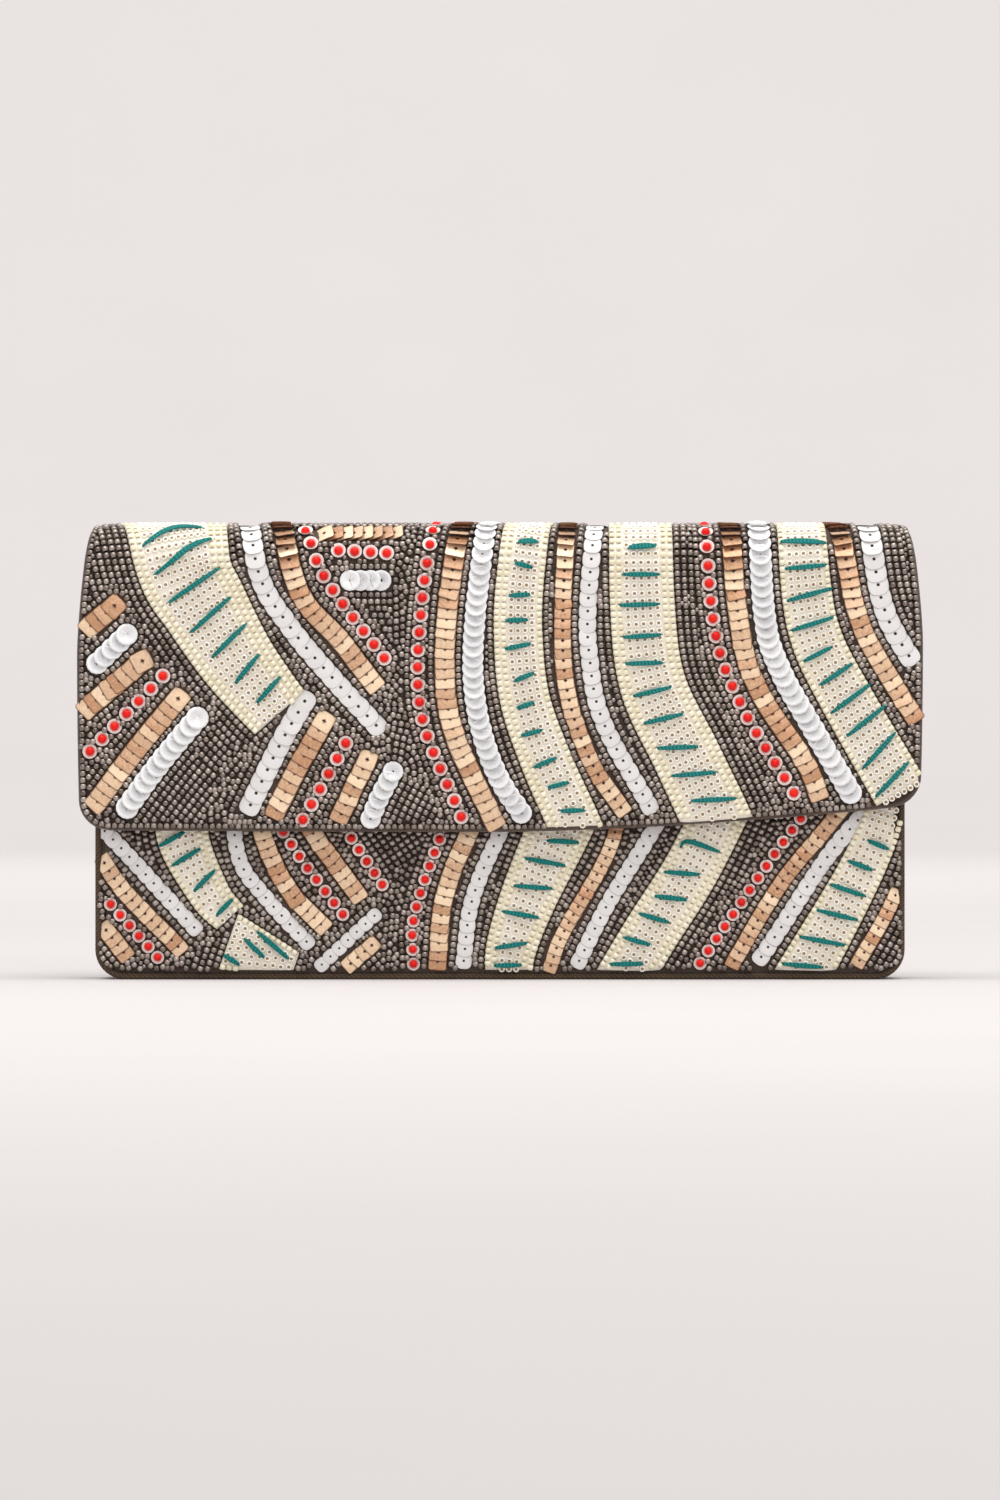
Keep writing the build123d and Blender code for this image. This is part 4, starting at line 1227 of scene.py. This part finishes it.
def rose_square():
    """A thin square of foil with rounded corners, a little bowed, with a hole in its middle."""
    bm = bmesh.new()
    bmesh.ops.create_grid(bm, x_segments=2, y_segments=2, size=0.48)
    corners = [v for v in bm.verts if len(v.link_edges) == 2]
    centre = [v for v in bm.verts if len(v.link_edges) == 4]
    bmesh.ops.bevel(bm, geom=corners, offset=0.09, segments=1, profile=0.5, affect="VERTICES",
                    material=-1)
    hole = bmesh.ops.bevel(bm, geom=centre, offset=0.08, segments=1, profile=0.5,
                           affect="VERTICES", material=-1)["faces"]
    bmesh.ops.delete(bm, geom=hole, context="FACES_ONLY")
    bmesh.ops.inset_region(bm, faces=bm.faces[:], thickness=0.06, use_boundary=True,
                           use_even_offset=True)
    for vert in bm.verts:
        vert.co.z -= 1.0 * vert.co.y**2 + 0.5 * vert.co.x**2
    bmesh.ops.solidify(bm, geom=bm.faces[:], thickness=0.22)
    bmesh.ops.recalc_face_normals(bm, faces=bm.faces)
    return bm


rose_foil = glazed("rose gold foil", "c4926c", "f6dcba", "5c2618", 0.25, 0.45, 1100.0,
                   Metallic=0.35, Coat_Weight=0.15, Coat_Roughness=0.2)


def square_edge_shade(x, y, z):
    """A foil square's cut edge and the edge of its hole, painted dark brown as the shade
    under the overlap and in the hole.
    """
    return 0.9 if max(abs(x), abs(y)) > 0.45 or x * x + y * y < 0.011 else 0.0


place_on_panels("rose squares", rose_square, square_edge_shade, 0.75, rose_foil,
                {"flap": ["flap_rose_sequins"], "front": ["front_rose_sequins"]}, tilt=9, jitter=4,
                steep=17)

# --- Red stones: a row of small domed red beads, each standing in its own pale cup sequin.
flap_stones = [
    [(-58.4, 135.8), (-52, 119.8), (-34.6, 96.4)], [(-48.4, 129), (-33.8, 128.1)],
    [(-18, 138), (-23.6, 111), (-23.5, 79.6), (-11.5, 48.7)],
    [(61.3, 138), (63.9, 107.7), (72, 83), (88.2, 55.9)], [(-101, 91.2), (-123, 68.4)],
    [(-46.2, 71), (-59.2, 48)],
]
front_stones = [
    [(-117, 22.6), (-102.8, 6.6)], [(-67.5, 48), (-58.8, 34.9), (-47.1, 19.4)],
    [(-47, 46), (-35.3, 28.4)], [(-13, 54), (-18.2, 42.2), (-25.8, 19), (-26, 4.5)],
    [(93, 52), (80.8, 35.2), (60, 4.8)],
]
stone_radius = 2.3
for panel, rows, gap, size in ((flap, flap_stones, 5.2, 1.0), (front, front_stones, 4.4, 0.88)):
    for band in rows:
        line = laid_on(panel, band)
        panel["bands"].append((line, np.full(len(line), 2.2), True))
        length = (len(line) - 1) * line_step
        pitch = length / max(1, round(length / gap)) - 0.01
        spots, ways = along_line(line, pitch)
        sew(panel, "stone cups", spots, ways, radius=stone_radius * size, size=size)
        sew(panel, "red stones", spots, ways, size=size)
cup_film = glazed("pale cup film", "f0d5cd", "fff1ec", "ffffff", 0.15, 0.35, 100.0,
                  Coat_Weight=0.4, Coat_Roughness=0.1)
stone_cup = [(0.3, 0.0), (1.7, 0.15), (2.25, 0.85), (2.28, 1.0), (1.65, 0.35), (0.3, 0.2)]
place_on_panels("stone cups", lambda: turned(stone_cup, 14, "Z"), lambda x, y, z: 0.0, 0.1,
                cup_film, {})
red_glass = glazed("red glass", "dd0f06", "f51c0c", "8a0603", 0.2, 0.3, 60.0,
                   Specular_IOR_Level=0.25)
# The underside of each dome, where it sits in its cup, takes a dark red edge colour as painted shade.
dome = [(0, 1.9), (0.5, 1.8), (0.95, 1.5), (1.3, 1.0), (1.36, 0.6), (1.1, 0.3), (0, 0.3)]
place_on_panels("red stones", lambda: turned(dome, 12, "Z"), lambda x, y, z: z < 0.5, 0.1,
                red_glass,
                {"flap": ["flap_red_stones"], "front": ["front_red_stones"]})

# --- Teal stitches: short bundles of thick thread laid across the cream bands and pulled down at
# both ends.
flap_stitches = [
    [(-108, 129.6), (-98, 135.5), (-88, 136.2)], [(-104.3, 120.8), (-94, 129), (-85.1, 133.1)],
    [(-100.3, 112.4), (-83.1, 124.2)], [(-93.4, 103.5), (-79.9, 115.6)],
    [(-86.8, 96.1), (-75.6, 107.3)], [(-79.9, 88.3), (-71.6, 98.4)],
    [(-73.3, 82.6), (-65.3, 91.5)], [(5, 131.4), (11.9, 131.4)], [(4.1, 125.2), (9.9, 123.6)],
    [(2.4, 115.2), (9.6, 115.6)], [(1.3, 107.7), (8.7, 108)], [(1, 99.1), (9.9, 101)],
    [(3.9, 89.5), (10.7, 92.3)], [(4.7, 81.4), (10.7, 83.3)], [(6, 73.2), (13.1, 75.1)],
    [(9.8, 63.6), (17.3, 66.8)], [(13.9, 57.6), (21.1, 59.4)], [(17.6, 50.7), (26, 51)],
    [(38, 129.6), (47.4, 130.2)], [(36.2, 121.6), (48.3, 121.6)], [(35, 112.3), (48.3, 112.7)],
    [(36.2, 102.7), (49.1, 103.5)], [(36.8, 94.8), (49.7, 95.2)], [(39.1, 84.9), (52, 88)],
    [(42.3, 76.8), (55.7, 80)], [(46.3, 69.5), (60.3, 70)], [(50.9, 61.2), (65.8, 62.4)],
    [(56.3, 53.7), (71.6, 54.5)], [(83.1, 131.5), (98.4, 131.2)], [(84.6, 123.2), (98.7, 124.5)],
    [(85, 113.4), (100.3, 117.7)], [(86.5, 104.5), (100.9, 109.1)], [(90.5, 95.3), (100, 100.2)],
    [(95.3, 88), (106.1, 95.3)], [(98.7, 79.7), (111.6, 89.2)], [(103, 72.4), (116.5, 83.1)],
    [(108.2, 62.9), (119.2, 75.1)], [(111.9, 54.3), (123, 66)],
]
front_stitches = [
    [(-102.9, 39.8), (-94.3, 44.7)], [(-98.9, 34), (-89.4, 39.8)], [(-92.3, 26.3), (-85.4, 33.2)],
    [(-85.4, 19.1), (-80, 24.6)], [(-83.3, 7.6), (-77.9, 4.2)], [(-77, 12.5), (-70.4, 6.2)],
    [(-73.4, 14.8), (-62.7, 5.6)], [(13.6, 41.8), (24.5, 41.2)], [(6.8, 36.6), (20.5, 34.1)],
    [(3.3, 28.3), (16.5, 27.3)], [(0.2, 20.6), (12.5, 18.5)], [(-2.2, 9.4), (8.7, 11.1)],
    [(-2.5, 4.2), (7, 4.4)], [(54, 39), (56.3, 41.6), (66.8, 38.1)], [(48.7, 32.4), (60.9, 31.5)],
    [(45.7, 25.2), (56.9, 23.9)], [(41.3, 20), (51.5, 17)], [(36.8, 12.8), (45.9, 10.3)],
    [(32.4, 4.6), (43.7, 4.8)], [(110.2, 42), (117.3, 39)], [(104.3, 35.8), (112.7, 32.6)],
    [(98.5, 28.9), (110.4, 24.8)], [(94.4, 21.1), (108.4, 17.7)], [(89.1, 13.1), (104.7, 10.1)],
    [(84, 4.8), (97.8, 3.6)],
]
teal_thread, tree, shader = new_material("teal silk thread", Sheen_Weight=0.03,
                                         Sheen_Roughness=0.35, Specular_IOR_Level=0.25)
# The strands' colour follows their twist: dark teal in the grooves as painted shade and light teal on
# the crowns as a painted highlight.
spun = add_node(tree, "Mapping", Vector=coordinates(tree, "UV"), Rotation=(0, 0, radians(24)))
strands = add_node(tree, "TexWave", {"bands_direction": "X"}, Vector=spun.outputs[0],
                   Scale=700.0, Distortion=1.0, Detail=2.0).outputs["Fac"]
finish_surface(tree, shader, strands, 0.15 * mm, Base_Color=mixed(tree, strands, "032f33", "0ca59d"),
               Roughness=ranged(tree, strands, 0.35, 0.6))
strand_radius, strand_offset = 0.38, 0.4


def stitch_shape(panel, line, offset):
    """One strand of a stitch: a low arch over the beads that dives into the cloth at its ends."""
    run = np.arange(len(line)) * line_step
    path = beside(line, offset * np.sin(pi * np.linspace(0, 1, len(line))) ** 0.5)
    side = beside(path, 1.0)

    def shape(u, v):
        bow = np.clip(np.sin(pi * v), 0, 1)
        thick = strand_radius * (0.3 + 0.7 * bow**0.5)
        at, next_to = spots_at(v * run[-1], run, path, side)
        spot = (at + (next_to - at) * (thick * np.cos(u * 2 * pi))[:, None]) * mm
        lift = 0.5 + 1.9 * bow**0.3 + thick * np.sin(u * 2 * pi)
        return panel["surface"](spot[:, 0], spot[:, 1], lift * mm)
    return shape


for panel, part, stitches in ((flap, "flap", flap_stitches), (front, "front", front_stitches)):
    strands = []
    for ends in stitches:
        line = laid_on(panel, ends)
        for offset in (-strand_offset, 0.0, strand_offset):
            strand = shaped_cloth(6, 12, stitch_shape(panel, line, offset),
                                  (2.1 * mm, len(line) * line_step * mm))
            bmesh.ops.holes_fill(strand, edges=strand.edges, sides=8)
            strands.append(strand)
    whole = gathered(strands)
    bmesh.ops.recalc_face_normals(whole, faces=whole.faces)
    thread = new_piece(f"{part}_thread_stitches", whole, teal_thread)
    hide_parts(f"{part}_teal_stitches")
    hang(thread, part)

# --- Gunmetal seed beads: small dark metallic glass beads that outline every band and fill the
# ground between the bands, in rows that run beside them.
first_row = 1.1


def row_beside(band, distance):
    """The runs of a row of beads that goes round a band."""
    line, half, rounded_ends = band
    runs = [beside(line, half + distance), beside(line, -(half + distance))]
    for end, way, wide in ((line[0], line[0] - line[1], half[0]),
                           (line[-1], line[-1] - line[-2], half[-1])):
        heading = atan2(way[1], way[0])
        if rounded_ends:
            turn = np.linspace(-pi / 2, pi / 2, 40) + heading
            runs.append(end + (wide + distance) * np.stack([np.cos(turn), np.sin(turn)], -1))
        else:
            ahead = np.array([cos(heading), sin(heading)])
            places = np.linspace(-wide - distance, wide + distance, 60)[:, None]
            runs.append(end + ahead * (distance + 0.1) + places * (-ahead[1], ahead[0]))
    return runs


def fill_ground(panel, edge_rows, rows, low, high):
    """A row round every band, then rows that run beside each band until they meet another band's,
    and single beads in the gaps that are left."""
    bands_only = panel["taken"].copy()

    def sew_row(run, clear, start=0.5):
        sew(panel, "gunmetal", *along_line(run, bead_pitch, start), radius=bead_radius, clear=clear)

    for line in edge_rows:
        sew_row(line, 0.4, 0.0)
    for band in panel["bands"]:
        for run in row_beside(band, first_row):
            sew_row(run, 0.62)
    for band in panel["bands"]:
        hidden = [np.zeros(len(run), bool) for run in row_beside(band, first_row)]
        for row in range(1, rows):
            distance = first_row + row * column_pitch
            runs, nearer = row_beside(band, distance), row_beside(band, distance - 1)
            for run, inner, behind in zip(runs, nearer, hidden):
                behind |= bands_only[marks_at(run)] | bands_only[marks_at(inner)]
                for part in np.split(np.arange(len(run)), np.flatnonzero(np.diff(behind)) + 1):
                    if len(part) > 3 and not behind[part[0]]:
                        sew_row(run[part], 0.72)
    x, s = np.meshgrid(np.arange(-126, 126.1, 0.5), np.arange(low, high, 0.5), indexing="ij")
    spots = np.stack([x.ravel(), s.ravel()], -1)
    for radius, clear, size in ((bead_radius, 0.7, 1.0), (0.7, 0.5, 0.74)):
        sew(panel, "gunmetal", spots, np.full(len(spots), pi / 2), radius=radius, clear=clear,
            size=size)


fill_ground(flap, [flap_outline(1.6 * mm, back_start) / mm], 8, 40.0, bead_end)
fill_ground(front, [], 8, 0.0, front_bead_top / mm)
# The near-black edge colour is painted shade in each bead's hole.
gunmetal = glazed("gunmetal glass beads", "6b5f57", "b1a69d", "1c1511", 0.18, 0.36, 400.0,
                  Metallic=0.75, Coat_Weight=0.3, Coat_Roughness=0.1)
place_on_panels("gunmetal", lambda: turned(barrel, 7, "Y"), barrel_hole_shade, 0.7, gunmetal,
                {
                    "flap": ["flap_ground_beads", "flap_fold_beads"],
                    "back_fold": ["spine_beads"], "front": ["front_ground_beads"]})

low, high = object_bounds()
